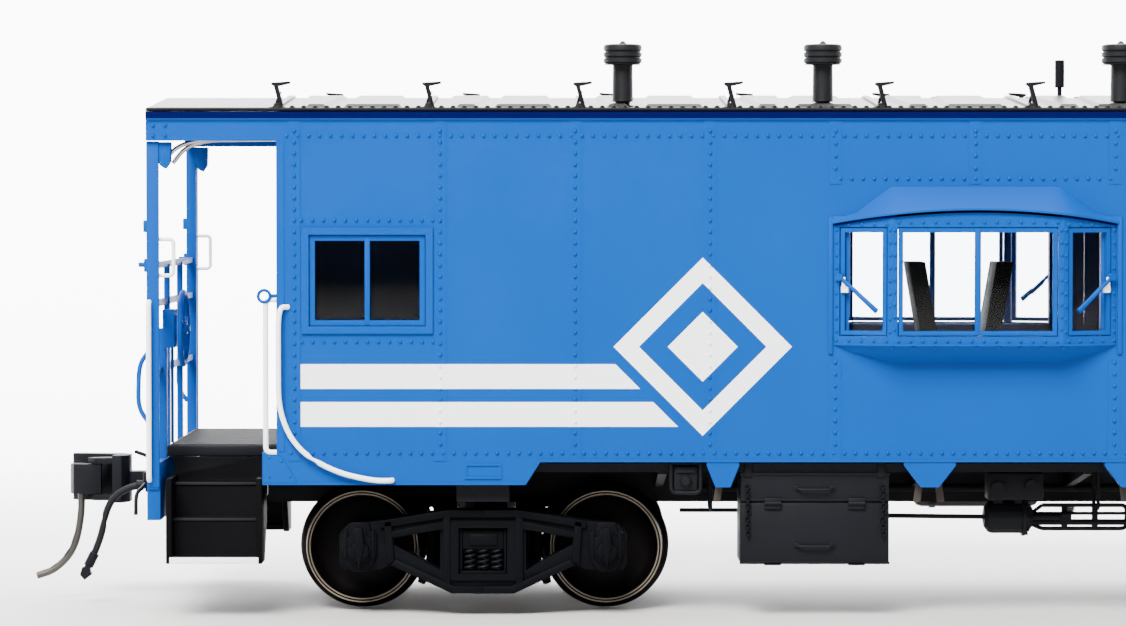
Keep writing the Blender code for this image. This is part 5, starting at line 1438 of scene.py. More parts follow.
@dataclass
class EndFittings:
    """Platform, steps, railing trim, handrails, brake wheel and hose of an end. Sizes in mm."""

    sizes: FrameSizes
    rail_radius: float = 0.22
    grab_radius: float = 0.16

    def __post_init__(self) -> None:
        """Reads the end frame's and the steps' places."""
        frame_low, frame_high = box_mm("end_frame_a")
        self.post_x = frame_low.x + 0.1
        self.post_y = frame_low.y
        self.frame_top = frame_high.z
        self.step_low, self.step_high = box_mm("steps_a_left")
        self.deck_low, self.deck_high = box_mm("platform_a_end")

    def curved_handrail(self) -> Shape:
        """The white rail that drops from the corner and sweeps along the side."""
        x, y = self.sizes.end_x, self.sizes.side_y - 0.55
        wall = self.sizes.side_y
        route = [
            (x + 1.0, wall, 26.0), (x + 0.2, y, 26.0), (x + 0.2, y, 17.4), (x + 1.6, y, 14.3),
            (x + 4.6, y, 12.4), (x + 7.9, y, 11.6), (x + 9.6, y, 11.6), (x + 9.6, wall, 11.6)
        ]
        return Shape().tube(rounded(route, 1.9), self.rail_radius)

    def corner_rail(self) -> Shape:
        """The straight white rail at the house corner, with feet above and below."""
        x, y = self.sizes.end_x - 0.9, self.sizes.side_y + 0.1
        route = [(x + 0.9, y, 13.9), (x, y, 13.9), (x, y, 26.6), (x + 0.9, y, 26.6)]
        return Shape().tube(rounded(route, 0.5), self.rail_radius)

    def corner_ring(self) -> Shape:
        """The blue eye bolt at the top of the corner rail."""
        x, y = self.sizes.end_x - 0.9, self.sizes.side_y - 0.1
        shape = Shape()
        ring = []
        for step in range(17):
            angle = 2 * math.pi * step / 16
            ring.append((x - 0.1 + 0.5 * math.cos(angle), y, 26.9 + 0.5 * math.sin(angle)))
        shape.tube(ring, 0.14)
        shape.bar((x + 0.4, y + 0.1, 26.9), (self.sizes.end_x + 0.1, y + 0.3, 26.9), 0.18)
        return shape

    def post_rail(self) -> Shape:
        """The long white handrail outside a corner post."""
        x, y = self.post_x + 0.15, self.post_y - 0.5
        route = [(x, self.post_y + 0.2, 26.4), (x, y, 26.4), (x, y, 11.6), (x, self.post_y + 0.2, 11.6)]
        return Shape().tube(rounded(route, 0.5), self.rail_radius)

    def post_grabs(self) -> Shape:
        """Small white grab irons on the platform side of a corner post."""
        x, y = self.post_x + 0.9, self.post_y + 0.4
        route = [(x - 0.1, y, 31.6), (x + 1.25, y, 31.6), (x + 1.25, y, 28.6), (x - 0.1, y, 28.6)]
        return Shape().tube(rounded(route, 0.4), self.grab_radius)

    def post_fittings(self) -> Shape:
        """Blue lug, eye, bowed bar and top gusset of a corner post."""
        x, y = self.post_x, self.post_y
        shape = Shape()
        shape.block((x - 0.35, y + 0.1, 32.2), (x + 0.1, y + 0.7, 33.2), 0.08)
        shape.block((x - 0.3, y + 0.1, 28.9), (x + 0.1, y + 0.6, 30.0), 0.08)
        shape.bar((x - 0.3, y + 0.35, 29.5), (x - 0.75, y + 0.35, 29.5), 0.2)
        bow = [(x, y + 0.4, 22.2), (x - 0.75, y + 0.4, 21.2), (x - 0.85, y + 0.4, 17.6), (x, y + 0.4, 16.4)]
        shape.tube(rounded(bow, 1.2), 0.2)
        gusset = [
            (x + 0.8, self.frame_top - 0.05), (x + 2.0, self.frame_top - 0.05),
            (x + 1.95, self.frame_top - 1.7), (x + 1.55, self.frame_top - 2.3),
            (x + 1.05, self.frame_top - 2.0), (x + 0.8, self.frame_top - 1.2)
        ]
        shape.slab(gusset, y + 0.05, y + 1.0, "Y", 0.1)
        shape.block((x - 0.06, y - 0.08, 11.0), (x + 0.98, y + 0.16, self.frame_top - 0.02), 0.05)
        return shape

    def conduit(self) -> Shape:
        """Two grey pipes that run from a post up under the platform's roof."""
        x, y, top = self.post_x + 0.9, self.post_y + 1.2, self.frame_top
        shape = Shape()
        for shift in (0.0, 0.75):
            route = [
                (x + 0.3 + shift, y + shift, top - 1.8), (x + 1.4 + shift, y + shift, top - 0.4),
                (x + 3.4 + shift, y + shift, top + 0.15), (self.sizes.end_x - 0.05, y + shift, top + 0.2)
            ]
            shape.tube(rounded(route, 1.1), 0.18)
        return shape

    def step_edges(self) -> Shape:
        """The pale worn nosing of each tread."""
        low, high = self.step_low, self.step_high
        shape = Shape()
        for level, back in ((5.2, 0.0), (8.3, 1.3), (11.2, 2.6)):
            y = low.y + 0.1 + back
            shape.block((low.x + 0.5, y - 0.06, level - 0.2), (high.x - 0.5, y + 0.12, level + 0.03), 0.03)
        return shape

    def step_foot(self) -> Shape:
        """The white edge along the bottom of the lowest tread."""
        low, high = self.step_low, self.step_high
        y = low.y
        return Shape().block((low.x + 0.3, y - 0.12, 4.62), (high.x - 0.3, y + 0.15, 5.15), 0.04)

    def tread_bars(self) -> Shape:
        """Raised bars across the platform deck."""
        shape = Shape()
        low, high = self.deck_low, self.deck_high
        count = 22
        for index in range(count):
            y = low.y + 0.6 + (high.y - low.y - 1.2) * index / (count - 1)
            shape.block((low.x + 0.3, y - 0.16, high.z - 0.05), (high.x - 0.2, y + 0.16, high.z + 0.1))
        return shape

    def brake_wheel(self) -> Shape:
        """The hand brake wheel, with a round rim, dished spokes and a hub nut."""
        low, high = box_mm("brake_wheel_a")
        centre = (low + high) / 2
        reach = (high.z - low.z) / 2 - 0.25
        shape = Shape()
        rim = []
        for step in range(49):
            angle = 2 * math.pi * step / 48
            rim.append(centre + Vector((0.0, math.cos(angle), math.sin(angle))) * reach)
        shape.tube(rim, 0.24)
        for count in range(5):
            angle = 2 * math.pi * count / 5 + 0.3
            outward = Vector((0.0, math.cos(angle), math.sin(angle)))
            shape.tube([centre + outward * 0.4, centre + outward * reach], 0.15)
        shape.bar(centre - Vector((0.35, 0, 0)), centre + Vector((0.35, 0, 0)), 0.7, 0.55)
        shape.bar(centre + Vector((0.3, 0, 0)), centre + Vector((0.6, 0, 0)), 0.3, sides=6)
        return shape

    def housing_trim(self) -> Shape:
        """The brake housing's round cover and its chain rod."""
        low, high = box_mm("brake_wheel_a")
        centre = (low + high) / 2
        face = low.x - 0.1
        shape = Shape()
        shape.bar((face - 0.3, centre.y, centre.z), (face, centre.y, centre.z), 1.25, 1.05, 32)
        shape.tube([(face - 0.6, centre.y + 0.9, centre.z - 1.4), (face - 0.6, centre.y + 0.9, 14.2)], 0.14)
        return shape

    def air_hose(self) -> Shape:
        """The brake hose with its coupling, hanging from the end sill."""
        low, high = box_mm("air_hose_a")
        y = (low.y + high.y) / 2
        x = high.x
        route = [(x, y, 10.2), (x - 2.6, y, 10.3), (x - 4.6, y, 8.9), (x - 5.2, y, 5.6), (x - 6.6, y, 2.7)]
        shape = Shape().tube(rounded(route, 2.2), 0.3)
        return shape

    def hose_fittings(self) -> Shape:
        """The cock, clamps and coupling of the hose."""
        low, high = box_mm("air_hose_a")
        y, x = (low.y + high.y) / 2, high.x
        shape = Shape()
        shape.bar((x + 0.1, y, 10.2), (x - 1.3, y, 10.25), 0.55)
        shape.block((x - 1.1, y - 0.45, 10.0), (x - 0.3, y + 0.45, 11.2), 0.12)
        shape.bar((x - 1.5, y, 10.26), (x - 2.1, y, 10.3), 0.42)
        shape.bar((x - 5.75, y, 4.4), (x - 6.3, y, 3.3), 0.42)
        shape.hull(
            [
                (x - 6.1 + dx, y + dy, 2.45 + dz)
                for dx, dz in ((-0.9, 0.1), (-0.5, -0.35), (0.1, 0.1), (-0.1, 0.8), (-0.7, 0.75))
                for dy in (-0.35, 0.35)
            ]
        )
        return shape

    def cut_lever(self) -> Shape:
        """The uncoupling rod across the end sill, with its handle."""
        x = self.post_x - 0.6
        route = [
            (x - 0.5, -15.4, 8.6), (x - 0.5, -15.2, 10.4), (x, -13.5, 10.9), (x, -2.6, 12.3),
            (x - 2.2, -1.0, 12.9)
        ]
        shape = Shape().tube(rounded(route, 0.7), 0.17)
        for y in (-12.5, -6.0):
            shape.block((x - 0.2, y - 0.25, 10.6), (self.post_x + 0.1, y + 0.25, 12.0), 0.08)
        return shape

    def sill_fittings(self) -> Shape:
        """Poling sockets, striker and grab on the end sill."""
        x = self.post_x - 0.1
        shape = Shape()
        for sign in (-1, 1):
            shape.lathe(
                [(0.0, 0.25), (0.5, 0.25), (0.6, 0.4), (0.85, 0.4), (0.95, 0.2), (0.95, -0.1), (0.0, -0.1)],
                (x, sign * 10.5, 10.4), "X", 24
            )
        shape.block((x - 0.25, -3.9, 12.5), (x + 0.1, 3.9, 13.1), 0.08)
        return shape

    def lift_arm(self) -> Shape:
        """The blue curved arm that hangs from the end sill beside the coupler."""
        x = self.post_x - 0.2
        route = [(x, 3.9, 11.8), (x - 0.9, 4.0, 11.2), (x - 1.2, 4.0, 9.6), (x - 0.4, 4.0, 8.4)]
        return Shape().tube(rounded(route, 0.8), 0.25)

    def build(self) -> None:
        """Makes the ends' pieces."""
        for_corners(self.curved_handrail, "side_handrail", WHITE, stands_for=("curved_handrail_HALF_HAND",))
        for_corners(self.corner_rail, "corner_rail", WHITE)
        for_corners(self.corner_ring, "corner_eye", TRIM_BLUE)
        for_corners(self.post_rail, "post_rail", WHITE)
        for_corners(self.post_grabs, "post_grab", WHITE)
        for_corners(self.post_fittings, "post_fittings", TRIM_BLUE)
        for_corners(self.step_edges, "step_nosings", STACK_BLACK)
        for_corners(self.step_foot, "step_foot_edge", WHITE)
        for_halves(self.conduit, "conduits", STEEL)
        for_halves(self.tread_bars, "deck_tread_bars", BLACK)
        for_halves(self.housing_trim, "brake_housing_trim", TRIM_BLUE)
        for_halves(self.air_hose, "brake_hose", RUBBER, stands_for=("air_hose_HALF",))
        for_halves(self.hose_fittings, "hose_fittings", BLACK)
        for_halves(self.cut_lever, "cut_lever", BLACK)
        for_halves(self.sill_fittings, "end_sill_fittings", TRIM_BLUE)
        for_halves(self.lift_arm, "lift_arm", TRIM_BLUE)
        for_halves(
            self.brake_wheel, "hand_brake_wheel", TRIM_BLUE, body="handwheel_HALF",
            stands_for=("brake_wheel_HALF",)
        )
        for half in Half:
            end = half.value
            softened(f"end_frame_{end}", f"end_railing_{end}", TRIM_BLUE, "root", 0.1)
            softened(f"platform_{end}_end", f"deck_{end}", BLACK, "root", 0.1)
            for hand in Hand:
                node = f"steps_{end}_{hand.value}"
                softened(node, f"boarding_{node}", STEP_BLACK, "root", 0.06)


@dataclass
class Couplers:
    """Draft boxes, heads, knuckles and trip pins. Sizes in mm."""

    sizes: FrameSizes
    pin_start: Point = (-75.0, -1.0, 10.55)

    def box_trim(self) -> Shape:
        """Cover plate lip and screw of the draft box."""
        low, high = box_mm("coupler_box_a")
        shape = Shape()
        middle = (low.x + high.x) / 2
        shape.block((low.x + 0.1, low.y + 0.2, low.z - 0.12), (high.x - 0.2, high.y - 0.2, low.z + 0.1), 0.05)
        shape.lathe(
            [(0.0, 0.45), (0.5, 0.42), (0.85, 0.25), (0.9, 0.0), (0.0, 0.0)],
            (middle + 1.2, 0.0, low.z - 0.1), "Z", 24
        )
        return shape

    def trip_pin(self) -> Shape:
        """The curved steel pin under the knuckle."""
        x, y, z = self.pin_start
        drops = ((1.3, 1.2), (1.3, 3.2), (1.9, 6.2), (3.6, 8.0), (5.2, 8.5))
        route = [(x - out, y, z - drop) for out, drop in drops]
        return Shape().tube(rounded(route, 2.0), 0.31)

    def build(self) -> None:
        """Makes the couplers' pieces."""
        for_halves(self.box_trim, "draft_box_cover", BLACK)
        for_halves(self.trip_pin, "trip_pin", PIN_STEEL, body="knuckle_HALF")
        for half in Half:
            end = half.value
            softened(f"coupler_box_{end}", f"draft_box_{end}", BLACK, "root", 0.1)
            softened(f"coupler_head_{end}", f"coupler_body_{end}", BLACK, f"coupler_{end}", 0.12)
            softened(f"coupler_knuckle_{end}", f"coupler_hook_{end}", BLACK, f"knuckle_{end}", 0.1)


# Trucks ----------------------------------------------------------------------------------------


@dataclass
class Trucks:
    """Side frame trim, bearings, springs, brake shoes and wheels. Sizes in mm."""

    sizes: FrameSizes
    wheelbase: float = 20.7
    axle_z: float = 5.45
    tread: float = 4.815
    flange: float = 5.4
    wheel_width: float = 2.8
    rim: float = 0.5
    hub: float = 1.35

    def __post_init__(self) -> None:
        """Reads the side frame's faces and the wheels' backs."""
        low, high = box_mm("truck_a_side_frame_left")
        self.face_y, self.inner_y = low.y, high.y
        wheel_low, wheel_high = box_mm("wheel_a_outer_left")
        self.wheel_back = -wheel_low.y
        self.wheel_face = -wheel_high.y

    def wheel(self, x: float) -> Shape:
        """A near-side wheel's tyre: flange and coned tread."""
        back, face = self.wheel_back, self.wheel_face
        inner = self.tread - self.rim
        profile = [
            (inner - 0.1, back - 0.1), (self.flange - 0.35, back), (self.flange - 0.06, back - 0.16),
            (self.flange, back - 0.34), (self.flange - 0.1, back - 0.52), (self.flange - 0.3, back - 0.66),
            (self.tread + 0.1, back - 0.78), (self.tread, back - 0.95), (self.tread - 0.07, face + 0.15),
            (self.tread - 0.12, face + 0.05), (self.tread - 0.22, face + 0.06), (inner + 0.02, face + 0.06),
            (inner - 0.1, face + 0.3), (inner - 0.1, back - 0.1)
        ]
        return Shape().lathe(profile, (x, 0.0, self.axle_z), "Y", 96)

    def wheel_rings(self, x: float) -> Shape:
        """The turned rim face of a near-side wheel, with a groove between two beads."""
        face = self.wheel_face
        outer, inner = self.tread - 0.05, self.tread - self.rim + 0.08
        middle = (outer + inner) / 2
        profile = [
            (inner, face + 0.2), (inner, face + 0.06), (inner + 0.04, face), (middle - 0.09, face),
            (middle - 0.05, face + 0.07), (middle + 0.05, face + 0.07), (middle + 0.09, face),
            (outer - 0.04, face), (outer, face + 0.06), (outer, face + 0.2), (inner, face + 0.2)
        ]
        return Shape().lathe(profile, (x, 0.0, self.axle_z), "Y", 96)

    def wheel_plate(self, x: float) -> Shape:
        """A near-side wheel's dished plate and hub, painted black."""
        back, face = self.wheel_back, self.wheel_face
        edge = self.tread - self.rim - 0.05
        profile = [
            (0.82, face + 0.1), (self.hub, face + 0.1), (self.hub + 0.1, face + 0.18),
            (self.hub + 0.35, face + 0.7), (self.hub + 0.9, face + 0.95), (edge - 0.7, face + 0.8),
            (edge - 0.25, face + 0.5), (edge, face + 0.1), (edge, back - 0.15), (edge - 0.5, back - 0.5),
            (self.hub + 0.3, back - 0.5), (self.hub, back - 0.05), (0.82, back - 0.05), (0.82, face + 0.1)
        ]
        return Shape().lathe(profile, (x, 0.0, self.axle_z), "Y", 64)

    def frame_trim(self) -> Shape:
        """Raised flanges round a near side frame's outline and openings."""
        y = self.face_y
        shape = Shape()
        low, high = y - 0.32, y + 0.05
        axle = self.wheelbase / 2
        for sign in (-1, 1):

            def flange(points: Sequence[Point], sign: int = sign) -> None:
                """Adds one raised strip."""
                shape.slab([(sign * x, z) for x, z in points], low, high, "Y", 0.05)

            flange([(0.0, 8.9), (3.0, 8.9), (axle - 1.7, 8.0), (axle - 1.7, 7.4), (3.0, 8.3), (0.0, 8.3)])
            flange([(0.0, 1.9), (2.6, 1.9), (7.75, 4.3), (7.3, 4.75), (2.4, 2.5), (0.0, 2.5)])
            flange([(2.75, 2.6), (3.35, 2.8), (3.35, 8.2), (2.75, 8.4)])
            flange([(7.45, 4.6), (8.1, 4.4), (8.3, 7.9), (7.7, 8.0)])
            flange([(3.3, 7.3), (7.7, 6.6), (7.7, 7.1), (3.3, 7.95)])
        shape.ring_frame((-2.75, 2.75, 3.0, 8.0), (-2.1, 2.1, 3.55, 7.4), y - 0.22, y + 0.05)
        return shape

    def bearings(self) -> Shape:
        """Roller bearing adapters and end caps of a near side frame."""
        y = self.face_y
        shape = Shape()
        for sign in (-1, 1):
            x = sign * self.wheelbase / 2
            adapter = [(1.45, 5.2), (1.45, 7.0), (0.95, 7.15), (0.8, 7.9)]
            adapter += [(-across, up) for across, up in reversed(adapter)]
            adapter += [(-1.15, 4.35), (-0.55, 3.75), (0.55, 3.75), (1.15, 4.35)]
            shape.slab([(x + across, up) for across, up in adapter], y - 0.3, y + 0.1, "Y", 0.1)
            shape.slab(
                [(x + across * 0.7, 5.6 + (up - 5.6) * 0.75) for across, up in adapter],
                y - 0.55, y - 0.2, "Y", 0.1
            )
            cap = [(0.0, 0.75), (0.55, 0.75), (0.8, 0.65), (0.85, 0.5), (0.85, 0.0), (0.0, 0.0)]
            profile = [(radius, -height) for radius, height in reversed(cap)]
            shape.lathe(profile, (x, y - 0.35, self.axle_z), "Y", 32)
            for step in range(3):
                angle = 2 * math.pi * step / 3 + math.pi / 2
                place = Vector((x + 0.5 * math.cos(angle), y - 1.05, self.axle_z + 0.5 * math.sin(angle)))
                shape.bar(place, place - Vector((0.0, 0.14, 0.0)), 0.16, sides=6)
            shape.slab(
                [(x - 0.28, 7.5), (x + 0.28, 7.5), (x + 0.42, 5.9), (x, 4.1), (x - 0.42, 5.9)],
                y - 1.25, y - 0.6, "Y", 0.08
            )
            for across in (-1, 1):
                side = x + across * 1.12
                shape.block((side - 0.14, y - 0.5, 4.9), (side + 0.14, y - 0.2, 7.2), 0.06)
        return shape

    def bolster_end(self) -> Shape:
        """The bolster's end in the side frame's window, with its wear plates."""
        y = self.face_y
        shape = Shape()
        shape.block((-1.75, y + 0.25, 5.55), (1.75, y + 1.2, 7.2), 0.15)
        shape.block((-1.2, y + 0.05, 5.9), (1.2, y + 0.6, 6.9), 0.12)
        for x in (-1.95, 1.75):
            shape.block((x, y + 0.2, 3.7), (x + 0.2, y + 1.0, 7.3), 0.05)
        shape.block((-1.9, y + 0.15, 3.45), (1.9, y + 1.6, 3.75), 0.06)
        shape.block((-2.4, y + 1.35, 3.2), (2.4, y + 1.6, 7.6), 0.06)
        return shape

    def springs(self) -> Shape:
        """Three coil springs under the bolster's end."""
        shape = Shape()
        y = self.face_y + 0.75
        turns, steps = 4, 12
        for centre in (-1.15, 0.0, 1.15):
            path = []
            for step in range(turns * steps + 1):
                angle = 2 * math.pi * step / steps
                z = 3.75 + 1.8 * step / (turns * steps)
                path.append((centre + 0.38 * math.cos(angle), y + 0.38 * math.sin(angle), z))
            shape.tube(path, 0.12, 2)
        return shape

    def brake_shoes(self) -> Shape:
        """The brake beam, with a shoe and hanger at each near wheel."""
        shape = Shape()
        y = (self.wheel_back + self.wheel_face) / 2
        for sign in (-1, 1):
            inner = self.wheelbase / 2 - self.flange
            points = []
            for step in range(5):
                angle = math.radians(-32 + 16 * step)
                for radius in (self.flange + 0.25, self.flange + 0.85):
                    x = sign * (self.wheelbase / 2 - radius * math.cos(angle))
                    points.append((x, self.axle_z + radius * math.sin(angle)))
            ring = points[0::2] + points[1::2][::-1]
            shape.slab(ring, y - 0.9, y + 0.9, "Y", 0.05)
            shape.block(
                (sign * inner - sign * 1.3 - 0.25, y - 0.35, 4.9),
                (sign * inner - sign * 1.3 + 0.25, y + 0.35, 8.4), 0.08
            )
            shape.tube([(sign * (inner - 1.35), y, 5.2), (sign * (inner - 1.35), -y, 5.2)], 0.3)
            claw = [(5.5, 3.4), (4.4, 3.6), (3.6, 2.2), (4.2, 2.2), (4.8, 2.8), (5.2, 2.1), (5.7, 2.3)]
            shape.slab([(sign * across, up) for across, up in claw], y - 0.4, y + 0.4, "Y", 0.06)
            low, high = sorted((sign * 2.6, sign * 4.5))
            shape.block((low, y + 0.3, 3.1), (high, y + 0.7, 8.3), 0.08)
        return shape

    def build(self) -> None:
        """Makes the trucks' pieces."""
        centre = Matrix.Translation((self.sizes.truck_x, 0.0, 0.0))

        def at_truck(draw: Callable[[], Shape]) -> Callable[[], Shape]:
            """Draws a truck's shape at the A truck's place."""
            return lambda: draw().moved(centre)

        for_corners(at_truck(self.frame_trim), "side_frame_flanges", TRUCK_BLACK, body="truck_HALF")
        for_corners(at_truck(self.bearings), "bearing_caps", TRUCK_BLACK, body="truck_HALF")
        for_corners(at_truck(self.bolster_end), "bolster_end", TRUCK_BLACK, body="truck_HALF")
        for_corners(at_truck(self.springs), "truck_springs", BLACK, body="truck_HALF")
        for_corners(at_truck(self.brake_shoes), "brake_shoes", TRUCK_BLACK, body="truck_HALF")
        for name, sign in (("outer", -1), ("inner", 1)):
            x = self.sizes.truck_x + sign * self.wheelbase / 2
            for_corners(
                lambda x=x: self.wheel(x).moved(Hand.RIGHT.flip), f"{name}_wheel", WHEEL,
                body=f"wheelset_HALF_{name}", stands_for=(f"wheel_HALF_{name}_HAND",)
            )
            for_corners(
                lambda x=x: self.wheel_rings(x).moved(Hand.RIGHT.flip), f"{name}_wheel_rings", WHEEL_RING,
                body=f"wheelset_HALF_{name}"
            )
            for_corners(
                lambda x=x: self.wheel_plate(x).moved(Hand.RIGHT.flip), f"{name}_wheel_plate", WHEEL_FACE,
                body=f"wheelset_HALF_{name}"
            )
        for half in Half:
            end = half.value
            for hand in Hand:
                node = f"truck_{end}_side_frame_{hand.value}"
                softened(node, f"{node}_cast", TRUCK_BLACK, f"truck_{end}", 0.12)
            softened(f"truck_{end}_bolster", f"truck_{end}_beam", TRUCK_BLACK, f"truck_{end}", 0.1)


# Under the floor -------------------------------------------------------------------------------


@dataclass
class UnderGear:
    """Battery box trim, receptacle, brake rods, cylinder trim and hangers. Sizes in mm."""

    sizes: FrameSizes
    lid_level: float = 9.6

    def __post_init__(self) -> None:
        """Reads the battery box's place."""
        self.low, self.high = box_mm("battery_box")

    def handle(self, shape: Shape, x: float, z: float) -> None:
        """Adds a drop handle with its two mounting plates on the box's front."""
        y = self.low.y
        for sign in (-1, 1):
            shape.block(
                (x + sign * 1.5 - 0.25, y - 0.16, z - 0.2), (x + sign * 1.5 + 0.25, y + 0.05, z + 0.2), 0.05
            )
        route = [
            (x - 1.5, y - 0.1, z), (x - 1.25, y - 0.42, z - 0.1), (x + 1.25, y - 0.42, z - 0.1),
            (x + 1.5, y - 0.1, z)
        ]
        shape.tube(rounded(route, 0.3), 0.12)

    def box_trim(self) -> Shape:
        """Edges, hinges, handles, hangers and feet of the battery box."""
        low, high, shape = self.low, self.high, Shape()
        y, middle, lid = low.y, (low.x + high.x) / 2, self.lid_level
        self.handle(shape, middle, 10.85)
        self.handle(shape, middle, 6.1)
        for x in (low.x + 2.7, high.x - 2.7):
            shape.block((x - 0.7, y - 0.18, lid - 0.5), (x + 0.7, y + 0.05, lid + 0.45), 0.05)
            shape.bar((x - 0.7, y - 0.2, lid), (x + 0.7, y - 0.2, lid), 0.16)
            shape.block((x - 0.7, y - 0.08, low.z - 0.1), (x + 0.7, y + 0.4, low.z + 0.2), 0.05)
        for x in (low.x + 0.65, high.x - 0.65):
            shape.block((x - 0.32, y - 0.12, high.z - 0.4), (x + 0.32, y + 0.5, 13.05), 0.08)
        shape.block((low.x - 0.06, y - 0.08, high.z - 0.25), (high.x + 0.06, y + 0.1, high.z + 0.02), 0.04)
        shape.block((low.x - 0.06, y - 0.08, low.z), (high.x + 0.06, y + 0.1, low.z + 0.22), 0.04)
        shape.block((low.x + 0.02, y - 0.06, lid + 0.2), (high.x - 0.02, y + 0.1, lid + 0.36), 0.03)
        return shape

    def chain_lines(self) -> list[tuple[Point, Point]]:
        """Where the lid's safety chains hang at the front corners."""
        y = self.low.y - 0.16
        lines = []
        for x in (self.low.x + 0.55, self.high.x - 0.55):
            lines.append(((x, y, 11.0), (x + 0.1, y, 8.9)))
            lines.append(((x, y, 8.6), (x + 0.1, y, 6.8)))
        return lines

    def receptacle(self) -> Shape:
        """The small socket box on its U frame."""
        shape = Shape()
        y, left, right = self.sizes.side_y + 0.6, -25.2, -22.75
        shape.block((left + 0.25, y, 10.7), (right - 0.25, y + 2.0, 12.7), 0.12)
        route = [(left, y, 12.9), (left, y, 10.5), (right, y, 10.5), (right, y, 12.9)]
        shape.tube(rounded(route, 0.5), 0.16)
        shape.lathe(
            [(0.0, -0.55), (0.35, -0.5), (0.5, -0.3), (0.5, 0.1), (0.0, 0.1)],
            ((left + right) / 2, y, 11.5), "Y", 24
        )
        shape.block((left + 0.4, y - 0.15, 12.15), (right - 0.4, y + 0.1, 12.4), 0.05)
        return shape

    def brake_rods(self) -> Shape:
        """Thin rods and levers between the cylinder and the trucks."""
        shape = Shape()
        shape.tube([(-24.2, -7.0, 8.3), (-19.0, -7.0, 8.3), (-6.5, -8.6, 8.05)], 0.18)
        shape.tube([(-7.0, -9.0, 8.0), (2.0, -9.0, 7.9)], 0.2)
        shape.tube([(16.0, -8.5, 8.15), (23.6, -6.5, 8.6)], 0.22)
        shape.tube([(-24.0, -3.6, 9.9), (24.0, -3.6, 9.9)], 0.3)
        shape.tube([(-24.0, 5.0, 9.6), (24.0, 5.0, 9.6)], 0.3)
        for x in (-21.6, 11.5, 20.0):
            shape.tube(rounded([(x, -8.4, 12.2), (x, -8.4, 8.5), (x, -5.8, 8.5), (x, -5.8, 12.2)], 0.5), 0.16)
        shape.slab([(-7.3, -9.6), (-6.6, -9.6), (-6.0, -3.4), (-6.7, -3.4)], 8.45, 8.75, "Z", 0.05)
        shape.slab([(8.3, -9.8), (9.0, -9.8), (10.2, -3.4), (9.5, -3.4)], 7.95, 8.25, "Z", 0.05)
        return shape

    def valve_group(self) -> Shape:
        """The control valve and its pipes beside the brake cylinder."""
        shape = Shape()
        y = -11.5
        shape.block((1.6, y - 1.0, 9.6), (6.3, y + 1.6, 11.9), 0.2)
        shape.bar((2.4, y - 1.0, 10.6), (2.4, y - 1.5, 10.6), 0.6)
        shape.bar((5.2, y - 1.0, 10.9), (5.2, y - 1.4, 10.9), 0.45)
        left, right, low, high = 6.7, 13.9, 6.85, 8.85
        loop = [(left, y + 3, high), (right, y + 3, high), (right, y + 3, low), (left, y + 3, low)]
        shape.tube(rounded([(5.4, y + 3, 7.9), *loop[:1]], 0.1), 0.16)
        shape.tube(rounded(loop, 0.5), 0.18)
        shape.tube(rounded([loop[3], (5.6, y + 3, 7.3)], 0.1), 0.18)
        for level, radius in ((8.15, 0.14), (7.4, 0.26)):
            shape.tube([(5.6, y + 3, level), (right + 2.5, y + 3, level)], radius)
        for x in (8.6, 11.2):
            shape.block((x - 0.25, y + 2.8, low), (x + 0.25, y + 3.2, high), 0.06)
        return shape

    def cylinder_trim(self) -> Shape:
        """Flange, bolts and push rod of the brake cylinder."""
        low, high = box_mm("brake_cylinder")
        y, z = (low.y + high.y) / 2, low.z + 1.4
        shape = Shape()
        flange = [(0.0, 0.15), (1.6, 0.15), (1.65, 0.0), (1.6, -0.15), (0.0, -0.15)]
        shape.lathe(flange, (high.x - 0.9, y, z), "X", 32)
        shape.bar((high.x - 0.2, y, z), (high.x + 2.6, y, z), 0.3)
        shape.block((high.x + 2.2, y - 0.4, z - 0.35), (high.x + 3.2, y + 0.4, z + 0.35), 0.08)
        for step in range(8):
            angle = 2 * math.pi * step / 8
            place = Vector((high.x - 0.8, y + 1.42 * math.cos(angle), z + 1.42 * math.sin(angle)))
            shape.bar(place, place + Vector((0.32, 0.0, 0.0)), 0.14, sides=6)
        return shape

    def straps(self) -> Shape:
        """Grey steel stays that come down behind the gussets of a side."""
        shape = Shape()
        y = self.sizes.side_y + 1.3
        for x in (-21.0, -4.3, -3.0, 12.4, 13.7):
            lean = 0.35 if x < -4 or x > 13 else -0.35
            shape.slab(
                [(x - 0.3, 12.3), (x + 0.3, 12.3), (x + 0.3 - lean, 9.7), (x - 0.3 - lean, 9.7)],
                y, y + 0.25, "Y"
            )
        return shape

    def tank_straps(self) -> Shape:
        """Bands round the air reservoir."""
        low, high = box_mm("air_reservoir")
        y = (low.y + high.y) / 2
        radius = (high.y - low.y) / 2
        shape = Shape()
        for share in (0.17, 0.83):
            x = low.x + (high.x - low.x) * share
            inner, outer, half = radius - 0.1, radius + 0.12, 0.25
            band = [(inner, half), (outer, half), (outer, -half), (inner, -half), (inner, half)]
            shape.lathe(band, (x, y, low.z + radius), "X", 32)
        return shape

    def build(self, links: Repeater) -> None:
        """Makes the pieces under the floor."""
        self.box_trim().piece("battery_box_trim", BLACK)
        self.receptacle().piece("receptacle_box", BLACK)
        self.brake_rods().piece("brake_rods", BLACK)
        self.valve_group().piece("valve_group", BLACK)
        self.cylinder_trim().piece("cylinder_trim", BLACK)
        self.tank_straps().piece("tank_straps", BLACK)
        for_halves(self.straps, "floor_stays", STAY_PRIMER)
        links.make("battery_box_chains", self.chain_lines(), 0.26, 0.2, 0.06, BLACK)
        softened("battery_box", "battery_case", BLACK, "root", 0.12)
        for node in ("brake_cylinder", "air_reservoir", "underframe"):
            dress(node, BLACK)


